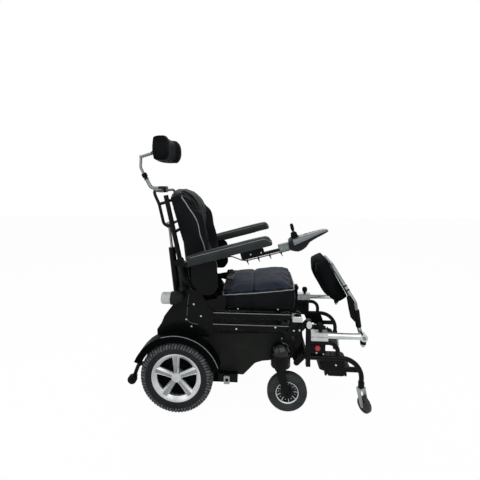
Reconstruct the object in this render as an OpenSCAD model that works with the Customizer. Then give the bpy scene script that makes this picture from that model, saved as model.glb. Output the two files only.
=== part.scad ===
// Powered standing wheelchair. Two parallel rails on each side lift the seat and keep the back upright,
// and short parallel links lower the foot frame as the seat rises.
// +X points forward, +Y to the chair's left and +Z up; the ground is at Z = 0.
// Sizes along X are measured from the drive axle until place() moves the middle of the chair to X = 0.

/* [Drive wheels] */
// Outside diameter of the drive tyre
rear_tyre_d = 372; // [350:1:400]
// Width of the drive tyre
rear_tyre_w = 65; // [55:1:70]
// Diameter of the tyre's seat on the rim
rear_rim_d = 256; // [230:1:270]
// Distance between the middle planes of the two drive tyres
rear_track = 554; // [550:1:600]
// Diameter of the drive shaft
shaft_d = 25; // [20:1:30]
// Number of spokes on a rim
spoke_count = 5; // [3:1:8]
// Number of tread blocks round a tyre shoulder
lug_count = 44; // [20:2:60]

/* [Front casters] */
// Outside diameter of the caster tyre
caster_d = 204; // [190:1:206]
// Width of the caster tyre
caster_w = 50; // [40:1:54]
// Diameter of the caster tyre's seat on its hub
caster_rim_d = 118; // [100:1:130]
// Distance from the drive axle to the swivel axis
caster_x = 527; // [520:1:535]
// Distance between the two swivel axes
caster_track = 480; // [478:1:500]
// Distance from the swivel axis to the caster axle
caster_trail = 34; // [20:1:38]
// Diameter of the caster pot
pot_d = 100; // [80:1:102]
// Height of the caster pot with its cap
pot_h = 117; // [110:1:125]
// Diameter of the fork stem
stem_d = 22; // [18:1:26]

/* [Base] */
// Half width across the outer faces of the base rails
base_y = 220; // [218:1:221]
// Width of a base rail
base_rail_w = 30; // [24:1:31]
// Height of a base rail
base_rail_h = 44; // [40:1:45]
// Height of the base rail's underside above the ground
base_z = 121; // [119:1:124]
// Length of a base rail
base_rail_l = 470; // [460:5:480]
// Half width across the side covers
cover_y = 186; // [184:1:187]
// Wall of the covers and the base shell
cover_t = 5; // [3:0.5:6]
// Length of a side cover
cover_l = 467; // [460:1:470]
// Height of a side cover
cover_h = 242; // [240:1:246]
// Outside radius of the mudguard
guard_r = 226; // [222:1:230]
// Wall of the mudguard
guard_t = 4; // [3:0.5:5]
// Length of a battery
battery_l = 185; // [175:5:185]
// Height of a battery
battery_h = 195; // [150:5:200]
// Diameter of the drive motor
motor_d = 92; // [80:1:100]
// Diameter of the gearbox
gearbox_d = 112; // [102:1:114]
// Diameter of an anti-tip roller
roller_d = 50; // [40:1:60]

/* [Standing linkage] */
// Distance from the drive axle to the seat rail's front pivot
stand_x = 610; // [608:1:614]
// Height of the seat rail's front pivot
stand_z = 486; // [484:1:490]
// Distance between the front and rear pivots of a rail
link_l = 453; // [445:1:456]
// Height between the seat rail's and the lower rail's pivots
link_drop = 61; // [60:1:66]
// Setback of the lower rail's pivots
link_back = 17; // [14:1:20]
// Height of a rail
bar_h = 30; // [24:1:30]
// Width of a rail
bar_w = 20; // [16:1:22]
// Diameter of the linkage pins
pin_d = 14; // [10:1:16]
// Length of a foot link between its pins
foot_link_l = 63; // [60:1:66]

/* [Seat] */
// Width of the seat cushion
seat_w = 436; // [400:2:440]
// Length of the seat cushion
seat_l = 412; // [400:2:414]
// Height of the cushion's side at the rear
seat_side_h = 72; // [60:1:80]
// Extra height of the cushion's side at the front
seat_rise = 26; // [10:1:30]
// Crown of the cushion's top
seat_crown = 14; // [6:1:18]
// Depth of the cushion's sewn channels
channel_depth = 6; // [3:0.5:8]

/* [Back] */
// Width of the back cushion
back_w = 416; // [380:2:420]
// Length of the back cushion along the back
back_l = 520; // [480:5:525]
// Lean of the back from upright, in degrees
back_lean = 16.4; // [14:0.2:18]
// Thickness of the back cushion's middle
back_core = 66; // [56:1:70]
// Height of the side bolsters above the middle
bolster_h = 50; // [30:1:55]
// Half width across the back canes
cane_y = 190; // [188:1:192]
// Diameter of a back cane
cane_d = 25; // [22:1:26]
// Diameter of the push bar
push_d = 16; // [14:1:20]

/* [Headrest] */
// Width of the headrest cushion
head_w = 320; // [300:5:330]
// Height of the headrest cushion
head_h = 162; // [140:2:166]
// Thickness of the headrest cushion's middle
head_core = 58; // [50:1:62]
// Reach of the wings beyond the middle
head_wing = 24; // [16:1:30]
// Outside diameter of the headrest bar
mast_tube_d = 22; // [20:1:24]
// Diameter of the headrest mast
mast_d = 16; // [12:1:16]

/* [Arms] */
// Upward slope of the arms, in degrees
arm_slope = 15; // [12:0.5:16]
// Length of an arm pad
arm_pad_l = 436; // [400:2:440]
// Width of an arm pad
arm_pad_w = 60; // [50:1:62]
// Thickness of an arm pad
arm_pad_h = 30; // [24:1:34]
// Distance from the middle of the chair to the middle of an arm pad
arm_y = 275; // [272:1:280]
// Length of the joystick controller
control_l = 196; // [180:1:200]
// Width of the joystick controller
control_w = 70; // [60:1:72]

/* [Knee support and foot frame] */
// Distance from the middle of the chair to the foot frame's tubes
foot_y = 263; // [262:1:266]
// Diameter of the foot frame's lower tube
foot_tube_d = 24; // [20:1:24]
// Diameter of the foot frame's upper tube
foot_hoop_d = 22; // [18:1:22]
// Diameter of a foot caster
foot_wheel_d = 75; // [70:1:80]
// Width of a foot caster
foot_wheel_w = 24; // [20:1:26]
// Length of a foot plate
plate_l = 160; // [150:2:166]
// Width of a foot plate
plate_w = 184; // [160:2:190]
// Diameter of a knee bar
knee_bar_d = 30; // [24:1:30]
// Diameter of the knee hoop's tube
hoop_d = 20; // [16:1:20]
// Width of the knee cushion
knee_w = 240; // [220:2:244]
// Length of the knee cushion
knee_l = 275; // [260:5:280]
// Thickness of the knee cushion
knee_h = 94; // [80:1:96]

/* [Hidden] */
$fn = 48;
cut = 1;  // overrun of a cutting solid
run_gap = 0.05;  // radial gap of a shaft in its bore
seat_gap = 0.3;  // gap between pieces that rest on each other
side_gap = 0.5;  // gap between faces that slide past each other
elbow_swell = 0.15;  // radial swell of a tube in its bends
elbow_grip = 2;  // length of a straight run inside the bend it meets

// Drive wheel
wheel_y = rear_track / 2;
axle_z = rear_tyre_d / 2;
rim_wall = 9;
rim_lip = 6;
hub_d = 74;
spoke_w = 30;
spoke_root_share = 0.36;
spoke_t = 16;
face_set = 8;  // depth of the spoke face behind the rim's edge
rim_web_t = 4;  // web that closes the rim's inner side
tyre_round = 20;
lug_w = 9;
lug_depth = 2.5;
lug_reach_share = 0.42;
spoke_angle = 92;  // turn of the first spoke, in degrees
nut_count = 5;
nut_d = 10;
nut_circle_d = 46;

// Drive motors, batteries and power module
gearbox_y0 = 128;
gearbox_y1 = cover_y;
motor_y0 = 30;
brake_d = 70;
brake_y0 = 8;
motor_foot_l = 96;
battery_gap = 10;
battery_w = 166;
battery_x = 74;
ledge_h = 20;
ledge_w = 40;
terminal_d = 16;
terminal_h = 6;
module_set = 20;
module_l = 70;
module_w = 180;
module_h = 96;
fin_count = 7;
fin_t = 4;
fin_h = 12;

// Base frame
base_rear_x = -165;
base_top = base_z + base_rail_h;
cross_w = 40;
riser_x = 264;
beam_y0 = 145;
beam_w = 34;
beam_z = 245;
beam_h = 50;
beam_end = 640;
stub_l = 70;
pot_z = 241;
pot_cap_h = 49;
front_tube_d = 30;
front_tube_x = 628;
front_tube_z = 270;
tower_y0 = 200;
tower_y1 = 209;
wall_gap = 3;  // gap between a rail and the plates beside it
bar_y0 = tower_y1 + wall_gap;
bar_y1 = bar_y0 + bar_w;
outer_y0 = bar_y1 + wall_gap;
outer_t = 6;
outer_y1 = outer_y0 + outer_t;
head_t = 5;
pivot_r = 24;
act_base_x = 545;
act_base_z = 285;
act_tube_d = 24;
link_t = 6;
foot_link_y0 = outer_y1 + side_gap;
foot_link_y1 = foot_link_y0 + link_t;
foot_link_r = 15;
foot_link_angle = 46.9;  // rise of the foot links, in degrees
foot_low_x = 607;
foot_low_z = 258;
foot_up_x = 620;
foot_up_z = 430;

// Tie-down straps
strap_x = 234;
strap_l = 31;
strap_t = 5;
strap_stand = 12;
strap_foot = 6;
eye_d = 18;
lug_y = 70;
lug_l = 26;
lug_t = 6;
lug_r = 16;

// Covers, shell and mudguards
cover_x0 = 147;
cover_z0 = 143;
cover_round = 16;
stub_clear = 3;
shell_x0 = base_rear_x;
shell_z0 = base_top + seat_gap;
slot_x0 = 470;
slot_l = 110;
slot_w = 84;
guard_y0 = outer_y1 + wall_gap;
guard_y1 = 316;
guard_skirt = 36;
guard_lip = 28;
guard_from = 14;  // front end of the mudguard, in degrees
guard_to = 158;  // rear end of the mudguard, in degrees
stay_w = 24;
stay_t = 5;
stay_tab_h = 20;
stay_front_x = 181;
stay_front_top = 282;
stay_rear_x = -150;
stay_rear_top = 352;

// Anti-tip bars
anti_y = 120;
anti_d = 22;
anti_bend = 36;
anti_x = -296;
anti_z = 64;
anti_knee_x = -266;
anti_pin_d = 10;
roller_w = 28;
boss_d = 30;

// Casters
caster_y = caster_track / 2;
caster_z = caster_d / 2;
crown_z = 213;
crown_h = 22;
crown_d = 56;
fork_arm_t = 6;
fork_arm_top_r = 21;
fork_arm_low_r = 17;
fork_gap = 4;
stem_h = 90;
caster_pin_d = 12;
caster_ring_t = 5;
caster_hub_d = 44;
caster_spokes = 9;
caster_spoke_t = 6;
caster_hub_share = 0.6;
caster_round_share = 0.2;

// Seat
seat_front = 618;
pan_side_set = 22;
pan_front_set = 20;
pan_x0 = seat_front - seat_l;
pan_l = seat_l - pan_front_set;
pan_y = seat_w / 2 - pan_side_set;
pan_rear_h = 15;
pan_front_h = 30;
seat_tube_d = 22;
seat_tube_set = 44;
seat_tube_rear_x = pan_x0 + seat_tube_set;
seat_tube_front_x = 562;
seat_side_draw = 7;
seat_corner_share = 0.2;
seat_ring_shares = [0.88, 0.55, 0.25];
act_eye_x = 525;
act_eye_z = 470;
act_eye_r = 15;
act_eye_y = 11;
act_lug_t = 6;
act_pin_d = 12;
act_slot_run = 12;
act_slot_free = 3;
belt_set = 20;
belt_x = pan_x0 + belt_set;
belt_w = 44;
belt_t = 3;
buckle_l = 62;
buckle_w = 46;
buckle_h = 16;

// Back carrier
carrier_y0 = outer_y0;
carrier_y1 = outer_y1;
carrier_l = 296;
carrier_h = 262;
carrier_x0 = -114;
carrier_z0 = 364;
carrier_round = 18;
recline_x = 90;
recline_z = 590;
strut_low_x = -20;
strut_low_z = 480;
strut_tube_d = 26;
carrier_tube_x = 70;
carrier_tube_z = 530;
carrier_tube_d = 25;
lamp_d = 66;
lamp_y = 275;
lamp_x0 = -68;
lamp_l = 100;
lamp_z = 590;
lamp_wall = 3;
lens_l = 44;
lens_seat = 12;
lens_dome = 6;
lamp_foot = 14;
lamp_waist_share = 0.5;
lamp_tail_share = 0.62;
lens_flat_share = 0.7;

// Back frame
cane_low_x = 18;
cane_low_z = 672;
cane_top_x = -72;
cane_top_z = 1105;
cane_bend = 60;
cane_boss_d = 34;
push_top_x = -138;
push_top_z = 1127;
push_mid_x = -108;
push_mid_z = 1058;
push_low_x = -84;
push_low_z = 950;
push_bend = 30;
rung_d = 18;
rung_shares = [0.12, 0.55, 0.93];
push_join_share = 0.614;
push_arm_share = 0.92;
strap_back_y = 100;
strap_back_w = 40;
strap_back_t = 6;
strap_end_share = 0.06;
strut_top_x = -68;
strut_top_z = 945;
back_x = 82.7;
back_z = 639.9;
back_bulge = 34;  // fullness of the middle below the back's top
back_draw = 6;
arm_pin_x = 4;
arm_pin_z = 763;
arm_pin_d = 12;
arm_boss_d = 34;

// Recline struts
strut_y = 152;
strut_d = 36;
strut_rod_d = 14;
strut_l = 345;
strut_rod_in = 140;
strut_floor = 70;
strut_free = 3.5;
strut_eye_t = 22;
strut_wall = 5;

// Stand-up actuator
act_d = 46;
act_rod_d = 22;
act_l = 145;
act_wall = 7;
act_rod_in = 24;

// Headrest
head_block_l = 44;
head_block_w = 40;
head_block_h = 34;
head_grip_share = 0.7;
bar_start_x = -150;
bar_start_z = 1139;
mast_rise = 62.8;  // angle of the mast from level, in degrees
mast_top_x = -262;
mast_top_z = 1224;
mast_bend = 34;
mast_sink = 58;
collar_d = 30;
collar_l = 20;
mast_knee_l = 40;
mast_end_x = -276;
mast_end_z = 1322;
ball_x = -197;
ball_z = 1345;
ball_d = 24;
neck_d = 14;
neck_ribs = 5;
neck_free = 1.6;  // rib pitches left bare at the ball
rib_d = 21;
rib_t = 5;
cup_d = 44;
tilt_pin_d = 8;
tilt_ear_d = 20;
head_back_x = -157;
head_mid_z = 1358;
head_draw = 6;

// Arms
arm_tube_h = 22;
arm_tube_w = 26;
arm_tube_l = 392;
arm_plate_y0 = 246;
arm_plate_t = 6;
pad_start = 55;
pad_nose = 22;
pad_draw = 2;
arm_tube_start = 26;
panel_l = 165;
panel_h = 198;
panel_start = 39;
panel_low = -202;
panel_round = 34;
rail_start = 322;
rail_drop = 56;
rail_h = 14;
rail_w = 16;
hanger_w = 30;
hanger_t = 8;
block_l = 54;
block_h = 34;
control_start = 566;
control_low = -83;
control_h = 76;
control_round = 14;
stick_at = 600;
stick_pivot = -22;
well_d = 50;
gimbal_d = 26;
gimbal_h = 9;
gimbal_pin_d = 4;
gimbal_pin_l = 58;
gimbal_bore_l = 60;
gimbal_bore_d = 16;
cross_pin_l = 24;
stick_d = 9;
boot_low_d = 36;
boot_top_d = 26;
boot_waist_share = 0.42;
boot_h = 26;
knob_d = 17;
knob_h = 35;
knob_neck = 6;
boot_lift = 12;
button_d = 14;
button_h = 9;
button_at = 655;
button_travel = 1.5;
button_rise_share = 0.966;
cable_d = 6;
cable_sides = 8;
rail_y0 = 255;
well_drop = 16;

// Foot frame
post_x = 661;
post_w = 22;
post_t = 24;
post_y0 = 251;
post_z0 = 256;
post_top = 492;
foot_tab_r = 12;
foot_tube_z = 300;
foot_tube_end = 925;
foot_bend = 100;
foot_hoop_z = 378;
foot_hoop_x = 807;
foot_hoop_bend = 45;
web_y0 = post_y0;
web_t = 7;
web_l = 155;
web_h = 172;
web_x0 = 690;
web_z0 = 203;
web_round = 12;
strip_h = 24;
strip_t = 10;
strip_z = 240;
strip_x0 = 783;
slot_r = 7;
slot_at_x = 785;
slot_at_z = 230;
slot_run = 12;
hinge_y = 238;
hinge_z = 213;
hinge_d = 12;
hinge_x0 = 748;
hinge_l = 108;
ear_t = 10;
ear_r = 11;
ear_h = 16;
plate_t = 9;
plate_x0 = 728;
plate_round = 22;
groove_count = 7;
groove_w = 5;
groove_t = 2;
release_d = 24;
release_l = 20;
release_x = 706;
release_z = 354;
cross_tube_z = 262;
cross_tube_set = 4;
cross_tube_d = 20;
foot_stem_d = 12;
foot_stem_h = 24;
socket_d = 30;
socket_z0 = 156;
socket_h = 26;
foot_wheel_rise = 42;
foot_trail = 22;
foot_yaw = 60;  // outward turn of the foot casters, in degrees
foot_arm_t = 4;
foot_arm_r = 13;
foot_arm_low_r = 10;
foot_arm_gap = 3;
foot_crown_h = 12;
foot_pin_d = 8;
foot_round_share = 0.1;

// Knee support
knee_x0 = post_x + post_w / 2;
knee_block_l = 83;
knee_slit = 3;
knee_block_w = 38;
knee_block_h = 40;
knee_bar_z = 414;
knee_bar_x0 = 682;
knee_joint_x = 928;
knee_joint_d = 36;
knee_pin_d = 16;
knob_x = 720;
knee_knob_d = 34;
knee_knob_h = 30;
knee_knob_neck = 12;
knob_stem_d = 10;
knob_lobes = 6;
knob_lobe_share = 1.12;
clamp_knob_d = 26;
clamp_knob_h = 18;
clamp_neck_d = 12;
clamp_neck_h = 6;
hoop_y = 205;
hoop_knee_x = 903;
hoop_knee_z = 561;
hoop_top_x = 810;
hoop_top_z = 727;
hoop_top_y = 90;
hoop_bend = 30;
knee_tilt = 60.3;  // lean of the knee cushion, in degrees
knee_back_n = 1052;
knee_mid_s = -150;
knee_draw = 8;
knee_hollow = 20;
knee_lug_y = 60;
knee_lug_d = 16;

// Places in the side view, as [x, z]
stand_pin = [stand_x, stand_z];
lower_pin = stand_pin - [link_back, link_drop];
stand_rear = stand_pin - [link_l, 0];
lower_rear = lower_pin - [link_l, 0];
foot_reach = foot_link_l * [cos(foot_link_angle), sin(foot_link_angle)];
foot_low = [foot_low_x, foot_low_z];
foot_up = [foot_up_x, foot_up_z];
foot_low_end = foot_low + foot_reach;
foot_up_end = foot_up + foot_reach;
recline_pin = [recline_x, recline_z];
strut_low = [strut_low_x, strut_low_z];
strut_top = [strut_top_x, strut_top_z];
arm_pin = [arm_pin_x, arm_pin_z];
act_base = [act_base_x, act_base_z];
act_eye = [act_eye_x, act_eye_z];
knee_joint = [knee_joint_x, knee_bar_z];
anti_pin = [anti_x, anti_z];

// Extremes along X that set the middle of the chair
rear_reach = roller_d / 2 - anti_x;
front_reach = foot_tube_end + (foot_trail + foot_wheel_d / 2) * cos(foot_yaw)
    + foot_wheel_w / 2 * sin(foot_yaw);
middle_x = (front_reach - rear_reach) / 2;

// Outlines as shares of the length and height of their piece
cover_shares = [
    [0, 0.9], [0.844, 1], [0.921, 0.938], [0.989, 0.764], [1, 0.657], [0.97, 0.43],
    [0.612, 0.335], [0.533, 0.281], [0.433, 0.07], [0.398, 0], [0.158, 0.03], [0, 0.045]
];
shell_rear_shares = [[0, 0], [0.03, 0.67], [0.17, 0.92]];
carrier_shares = [
    [0.007, 0], [0, 0.17], [0.078, 0.294], [0.135, 0.447], [0.287, 0.672], [0.351, 0.9], [0.588, 1],
    [0.764, 0.947], [0.892, 0.69], [1, 0.52], [0.98, 0.214], [0.89, 0.107], [0.453, 0.046]
];
panel_shares = [[0.18, 1], [0.98, 0.92], [0.76, 0.146], [0.55, 0], [0.2, 0.07], [0, 0.434]];
control_shares = [
    [0, 0.9], [0.17, 0.95], [0.89, 1], [1, 0.84], [0.97, 0.76], [0.49, 0.47], [0.33, 0.11], [0.19, 0],
        [0, 0.17]
];
web_shares = [
    [0, 1], [0.29, 1], [0.36, 0.62], [0.85, 0.62], [1, 0.27], [1, 0], [0.48, 0], [0.3, 0.27], [0.17,
        0.52], [0, 0.58]
];
box_shares = [[0, 0], [1, 0], [1, 1], [0, 1]];
caster_tyre_shares = [[0, 0.2], [0.4, 0], [0.7, 0.04], [1, 0.3], [1, 0.7], [0.7, 0.96], [0.4, 1], [0, 0.8]];
foot_wheel_shares = [
    [0, 0], [0.4, 0], [0.5, 0.18], [0.7, 0.18], [0.78, 0], [1, 0.15],
    [1, 0.85], [0.78, 1], [0.7, 0.82], [0.5, 0.82], [0.4, 1], [0, 1]
];
stick_knob_shares = [[0.4, 0], [0.5, 0.3], [0.5, 0.7], [0.3, 0.95], [0, 1]];
clamp_neck_shares = [[0, 0], [0.5, 0], [0.45, 1]];
clamp_grip_shares = [[0.9, 0], [1, 0.25], [1, 0.7], [0.7, 0.95], [0, 1]];

// Route of the controller's cable along the arm, as [along, outward, up]
cable_route = [
    [565, 275, -67], [545, 275, -67], [500, 275, -67], [450, 275, -67], [400, 275, -67], [345, 275, -67],
    [320, 274, -58], [300, 271, -44], [280, 268, -32], [255, 266, -27], [215, 265, -26], [170, 265, -26],
    [120, 265, -26], [70, 265, -26], [40, 265, -26]
];

// Plane geometry
function unit(v) = v / norm(v);
function arc(c, r, a0, a1, n = 8) =
    [for (i = [0 : n]) c + r * [cos(a0 + (a1 - a0) * i / n), sin(a0 + (a1 - a0) * i / n)]];
function lobe(a, b, ra, rb) =
    let(d = b - a, t = atan2(d.y, d.x), k = asin((ra - rb) / norm(d)))
    concat(arc(a, ra, t + 90 - k, t + 270 + k), arc(b, rb, t - 90 + k, t + 90 - k));
function corner(p, q, s, r) =
    let(u = unit(p - q), w = unit(s - q), half = acos(u * w) / 2)
    let(reach = min(r / tan(half), min(norm(p - q), norm(s - q)) / 2.2), k = reach * tan(half))
    let(c = q + unit(u + w) * k / sin(half), from = q + u * reach - c, to = q + w * reach - c)
    let(a0 = atan2(from.y, from.x), sweep = (atan2(to.y, to.x) - a0 + 540) % 360 - 180)
    arc(c, k, a0, a0 + sweep, 6);
function rounded(pts, r) =
    let(n = len(pts))
    [for (i = [0 : n - 1]) each corner(pts[(i + n - 1) % n], pts[i], pts[(i + 1) % n], r)];
function spread(shares, l, h) = [for (p = shares) [p.x * l, p.y * h]];
function shifted(pts, d) = [for (p = pts) p + d];
function inward(pts, i) =
    let(d = unit(pts[min(i + 1, len(pts) - 1)] - pts[max(i - 1, 0)])) [d.y, -d.x];
function band(pts, t) =
    concat(pts, [for (i = [len(pts) - 1 : -1 : 0]) pts[i] + t * inward(pts, i)]);
function at(p, y) = [p.x, -y, p.y];
function between(a, b, share) = a + (b - a) * share;
function smooth(x, lo, hi) = let(t = min(max((x - lo) / (hi - lo), 0), 1)) t * t * (3 - 2 * t);

// Pieces are drawn on the chair's right; left() mirrors one and pair() gives both sides
module left() { mirror([0, 1, 0]) children(); }
module pair() { children(); left() children(); }
module place() { translate([-middle_x, 0, 0]) children(); }
module slab(y0, y1) { translate([0, -y0, 0]) rotate([90, 0, 0]) linear_extrude(y1 - y0) children(); }
module pin(p, y0, y1, d) { translate([p.x, -y0, p.y]) rotate([90, 0, 0]) cylinder(d = d, h = y1 - y0); }
module headed_pin(p, y0, y1, d, head, flange) {
    pin(p, y0, y1 + head, d);
    pin(p, y1, y1 + head, d + flange);
}
module turned(p, y) { translate([p.x, -y, p.y]) rotate([90, 0, 0]) children(); }
module post(x, y, z, d, h) { translate([x, -y, z]) cylinder(d = d, h = h); }
module block(x, z, l, h, y0, y1) { translate([x, -y1, z]) cube([l, y1 - y0, h]); }
module rod(a, b, d) {
    v = b - a;
    translate(a) rotate([0, acos(v.z / norm(v)), atan2(v.y, v.x)]) cylinder(d = d, h = norm(v));
}

// A tube along straight runs with true bends between them
function turn(a, b, c) = acos(unit(b - a) * unit(c - b));
function setback(pts, i, bend) = bend * tan(turn(pts[i - 1], pts[i], pts[i + 1]) / 2);
module elbow(a, b, c, d, bend) {
    u = unit(b - a);
    w = unit(c - b);
    n = unit(w - u * (u * w));
    z = cross(-n, u);
    o = b - u * bend * tan(turn(a, b, c) / 2) + n * bend;
    multmatrix([[-n.x, u.x, z.x, o.x], [-n.y, u.y, z.y, o.y], [-n.z, u.z, z.z, o.z]])
        rotate_extrude(angle = turn(a, b, c)) translate([bend, 0]) circle(d = d + 2 * elbow_swell);
}
module bent_tube(pts, d, bend) {
    last = len(pts) - 1;
    for (i = [0 : last - 1]) {
        u = unit(pts[i + 1] - pts[i]);
        from = i == 0 ? 0 : setback(pts, i, bend) - elbow_grip;
        to = i == last - 1 ? 0 : setback(pts, i + 1, bend) - elbow_grip;
        rod(pts[i] + u * from, pts[i + 1] - u * to, d);
    }
    for (i = [1 : last - 1]) elbow(pts[i - 1], pts[i], pts[i + 1], d, bend);
}

// A cushion: a grid over its face, rings down its sides and a flat back
function squircle(u, v, k) = [u * sqrt(1 - k * v * v / 2), v * sqrt(1 - k * u * u / 2)];
function loop(nx, ny) = concat(
    [for (i = [0 : nx - 1]) [i, 0]], [for (j = [0 : ny - 1]) [nx, j]],
    [for (i = [nx : -1 : 1]) [i, ny]], [for (j = [ny : -1 : 1]) [0, j]]);
module cushion(nx, ny, face, sides, base) {
    grid = [for (i = [0 : nx]) for (j = [0 : ny]) face(2 * i / nx - 1, 2 * j / ny - 1)];
    rim = loop(nx, ny);
    m = len(rim);
    rings = [for (side = sides) for (p = rim) side(2 * p[0] / nx - 1, 2 * p[1] / ny - 1)];
    first = len(grid);
    top_ids = [for (p = rim) p[0] * (ny + 1) + p[1]];
    ids = concat([top_ids], [for (k = [0 : len(sides) - 1]) [for (p = [0 : m - 1]) first + k * m + p]]);
    hub = first + len(rings);
    polyhedron(
        points = concat(grid, rings, [base]),
        faces = concat(
            [for (i = [0 : nx - 1]) for (j = [0 : ny - 1]) let(a = i * (ny + 1) + j, b = a + ny + 1)
                each [[a, a + 1, b + 1], [a, b + 1, b]]],
            [for (k = [0 : len(sides) - 1]) for (p = [0 : m - 1]) let(q = (p + 1) % m)
                each [[ids[k][p], ids[k][q], ids[k + 1][q]], [ids[k][p], ids[k + 1][q], ids[k + 1][p]]]],
            [for (p = [0 : m - 1]) [hub, ids[len(sides)][p], ids[len(sides)][(p + 1) % m]]]
        )
    );
}

// A pad from its plan, its depth and the shares of its side rings
module pad(nx, ny, plan, depth, draw, shares, base) {
    face = function(u, v) let(p = plan(u, v, 0)) [depth(u, v), p.x, p.y];
    ring = function(inset, share) function(u, v) let(p = plan(u, v, inset)) [depth(u, v) * share, p.x, p.y];
    cushion(nx, ny, face, [ring(-seat_gap, shares[0]), ring(draw / 2, shares[1]), ring(draw, 0)], base);
}

// A round cord swept along a route
function heading(route, i) =
    unit(route[min(i + 1, len(route) - 1)] - route[max(i - 1, 0)]);
module cord(route, d, sides) {
    n = len(route);
    points = [for (i = [0 : n - 1])
        let(t = heading(route, i), a = unit(cross(t, [0, 1, 0])), b = cross(t, a))
        for (k = [0 : sides - 1]) route[i] + d / 2 * (a * cos(360 * k / sides) + b * sin(360 * k / sides))];
    polyhedron(points = points, faces = concat(
        [[for (k = [0 : sides - 1]) k]],
        [for (i = [0 : n - 2]) for (k = [0 : sides - 1])
            let(a = i * sides + k, b = i * sides + (k + 1) % sides)
            each [[a, a + sides, b + sides], [a, b + sides, b]]],
        [[for (k = [sides - 1 : -1 : 0]) (n - 1) * sides + k]]));
}

// Base frame
pot_inner_y = caster_y - pot_d / 2;
front_tube = [front_tube_x, front_tube_z];
module caster_pot() {
    translate([caster_x, -caster_y, pot_z]) difference() {
        union() {
            cylinder(d = pot_d, h = pot_h - pot_cap_h);
            translate([0, 0, pot_h - pot_cap_h]) rotate_extrude()
                polygon(concat([[0, 0]], [for (i = [0 : 8]) [pot_d / 2 * cos(90 * i / 8),
                    pot_cap_h * sin(90 * i / 8)]]));
        }
        translate([0, 0, -cut]) cylinder(d = stem_d + 2 * run_gap, h = stem_h + cut + side_gap);
    }
}
module knee_bracket() {
    slab(tower_y0, tower_y1) {
        polygon(lobe(front_tube, stand_pin, front_tube_d / 2 + head_t, pivot_r));
        polygon(lobe(lower_pin, stand_pin, pivot_r, pivot_r));
        polygon(lobe(foot_low, front_tube, foot_link_r, front_tube_d / 2));
    }
    slab(outer_y0, outer_y1) {
        polygon(lobe(lower_pin, stand_pin, pivot_r + head_t, pivot_r));
        polygon(lobe(foot_up, lower_pin, foot_link_r, pivot_r + head_t));
        polygon(lobe(lower_pin - [link_drop / 2, link_drop / 2], lower_pin, foot_link_r, pivot_r));
    }
        for (p = [stand_pin, lower_pin]) headed_pin(p, tower_y0, outer_y1, pin_d, head_t, 2 * head_t);
    headed_pin(foot_low, tower_y0, foot_link_y1 + side_gap, pin_d, head_t / 2, head_t);
    headed_pin(foot_up, outer_y0, foot_link_y1 + side_gap, pin_d, head_t / 2, head_t);
}
module chassis_frame() {
    color("#16181a") {
        pair() {
            block(base_rear_x, base_z, base_rail_l, base_rail_h, base_y - base_rail_w, base_y);
            block(riser_x, base_z, cross_w, beam_z + beam_h - base_z, beam_y0, beam_y0 + beam_w);
            block(riser_x, beam_z, beam_end - riser_x, beam_h, beam_y0, beam_y0 + beam_w);
            block(caster_x - stub_l / 2, beam_z, stub_l, beam_h, beam_y0, pot_inner_y + pot_d / 6);
            caster_pot();
            knee_bracket();
        }
        block(base_rear_x, base_z, cross_w, base_rail_h, -base_y, base_y);
        for (x = [battery_x, battery_x + battery_l - ledge_w, riser_x])
            block(x, base_z, ledge_w, ledge_h, -base_y, base_y);
        pin(front_tube, -tower_y1, tower_y1, front_tube_d);
        pin(act_base, -beam_y0, beam_y0, act_tube_d);
    }
}

// Tie-down straps with their eyes
strap_z = base_z + base_rail_h / 2;
module side_strap() {
    difference() {
        union() {
            slab(base_y + strap_stand, base_y + strap_stand + strap_t) polygon(rounded(
                shifted(spread(box_shares, strap_l, base_rail_h), [strap_x, base_z]), strap_foot));
            for (x = [strap_x, strap_x + strap_l - strap_foot])
                block(x, base_z + strap_foot, strap_foot, base_rail_h - 2 * strap_foot, base_y,
                    base_y + strap_stand + strap_t / 2);
        }
        pin([strap_x + strap_l / 2, strap_z], base_y + strap_stand - cut,
            base_y + strap_stand + strap_t + cut, eye_d);
    }
}
module rear_lug() {
    eye = [base_rear_x - lug_l + eye_d / 2, strap_z];
    difference() {
        slab(lug_y, lug_y + lug_t) polygon(lobe(eye, [base_rear_x - base_rail_h / 4, strap_z], lug_r,
            base_rail_h / 4));
        pin(eye, lug_y - cut, lug_y + lug_t + cut, eye_d);
        block(base_rear_x, base_z, cross_w, base_rail_h, lug_y - cut, lug_y + lug_t + cut);
    }
    block(base_rear_x - strap_t, strap_z - base_rail_h / 4, strap_t, base_rail_h / 2, lug_y - lug_t,
        lug_y + 2 * lug_t);
}
module tie_downs() { color("silver") pair() { side_strap(); rear_lug(); } }

// Batteries, motors and power module
battery_z = base_z + ledge_h;
module batteries() {
    color("#303338") pair() {
        block(battery_x, battery_z, battery_l, battery_h, battery_gap / 2, battery_gap / 2 + battery_w);
        for (x = [battery_x + 2 * terminal_d, battery_x + battery_l - 2 * terminal_d])
            translate([x, -battery_gap / 2 - battery_w / 2,
                battery_z + battery_h]) cylinder(d = terminal_d, h = terminal_h);
    }
}
module drive_motors() {
    color("#55585c") pair() difference() {
        union() {
            pin([0, axle_z], gearbox_y0, gearbox_y1, gearbox_d);
            pin([0, axle_z], motor_y0, gearbox_y0, motor_d);
            pin([0, axle_z], brake_y0, motor_y0, brake_d);
            block(-motor_foot_l / 2, base_z, motor_foot_l, gearbox_d / 2 + axle_z - base_z - terminal_d,
                gearbox_y1 - strap_t, base_y - base_rail_w);
        }
        pin([0, axle_z], motor_y0 + gearbox_y0 / 2, base_y, shaft_d + 2 * run_gap);
    }
}
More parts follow.
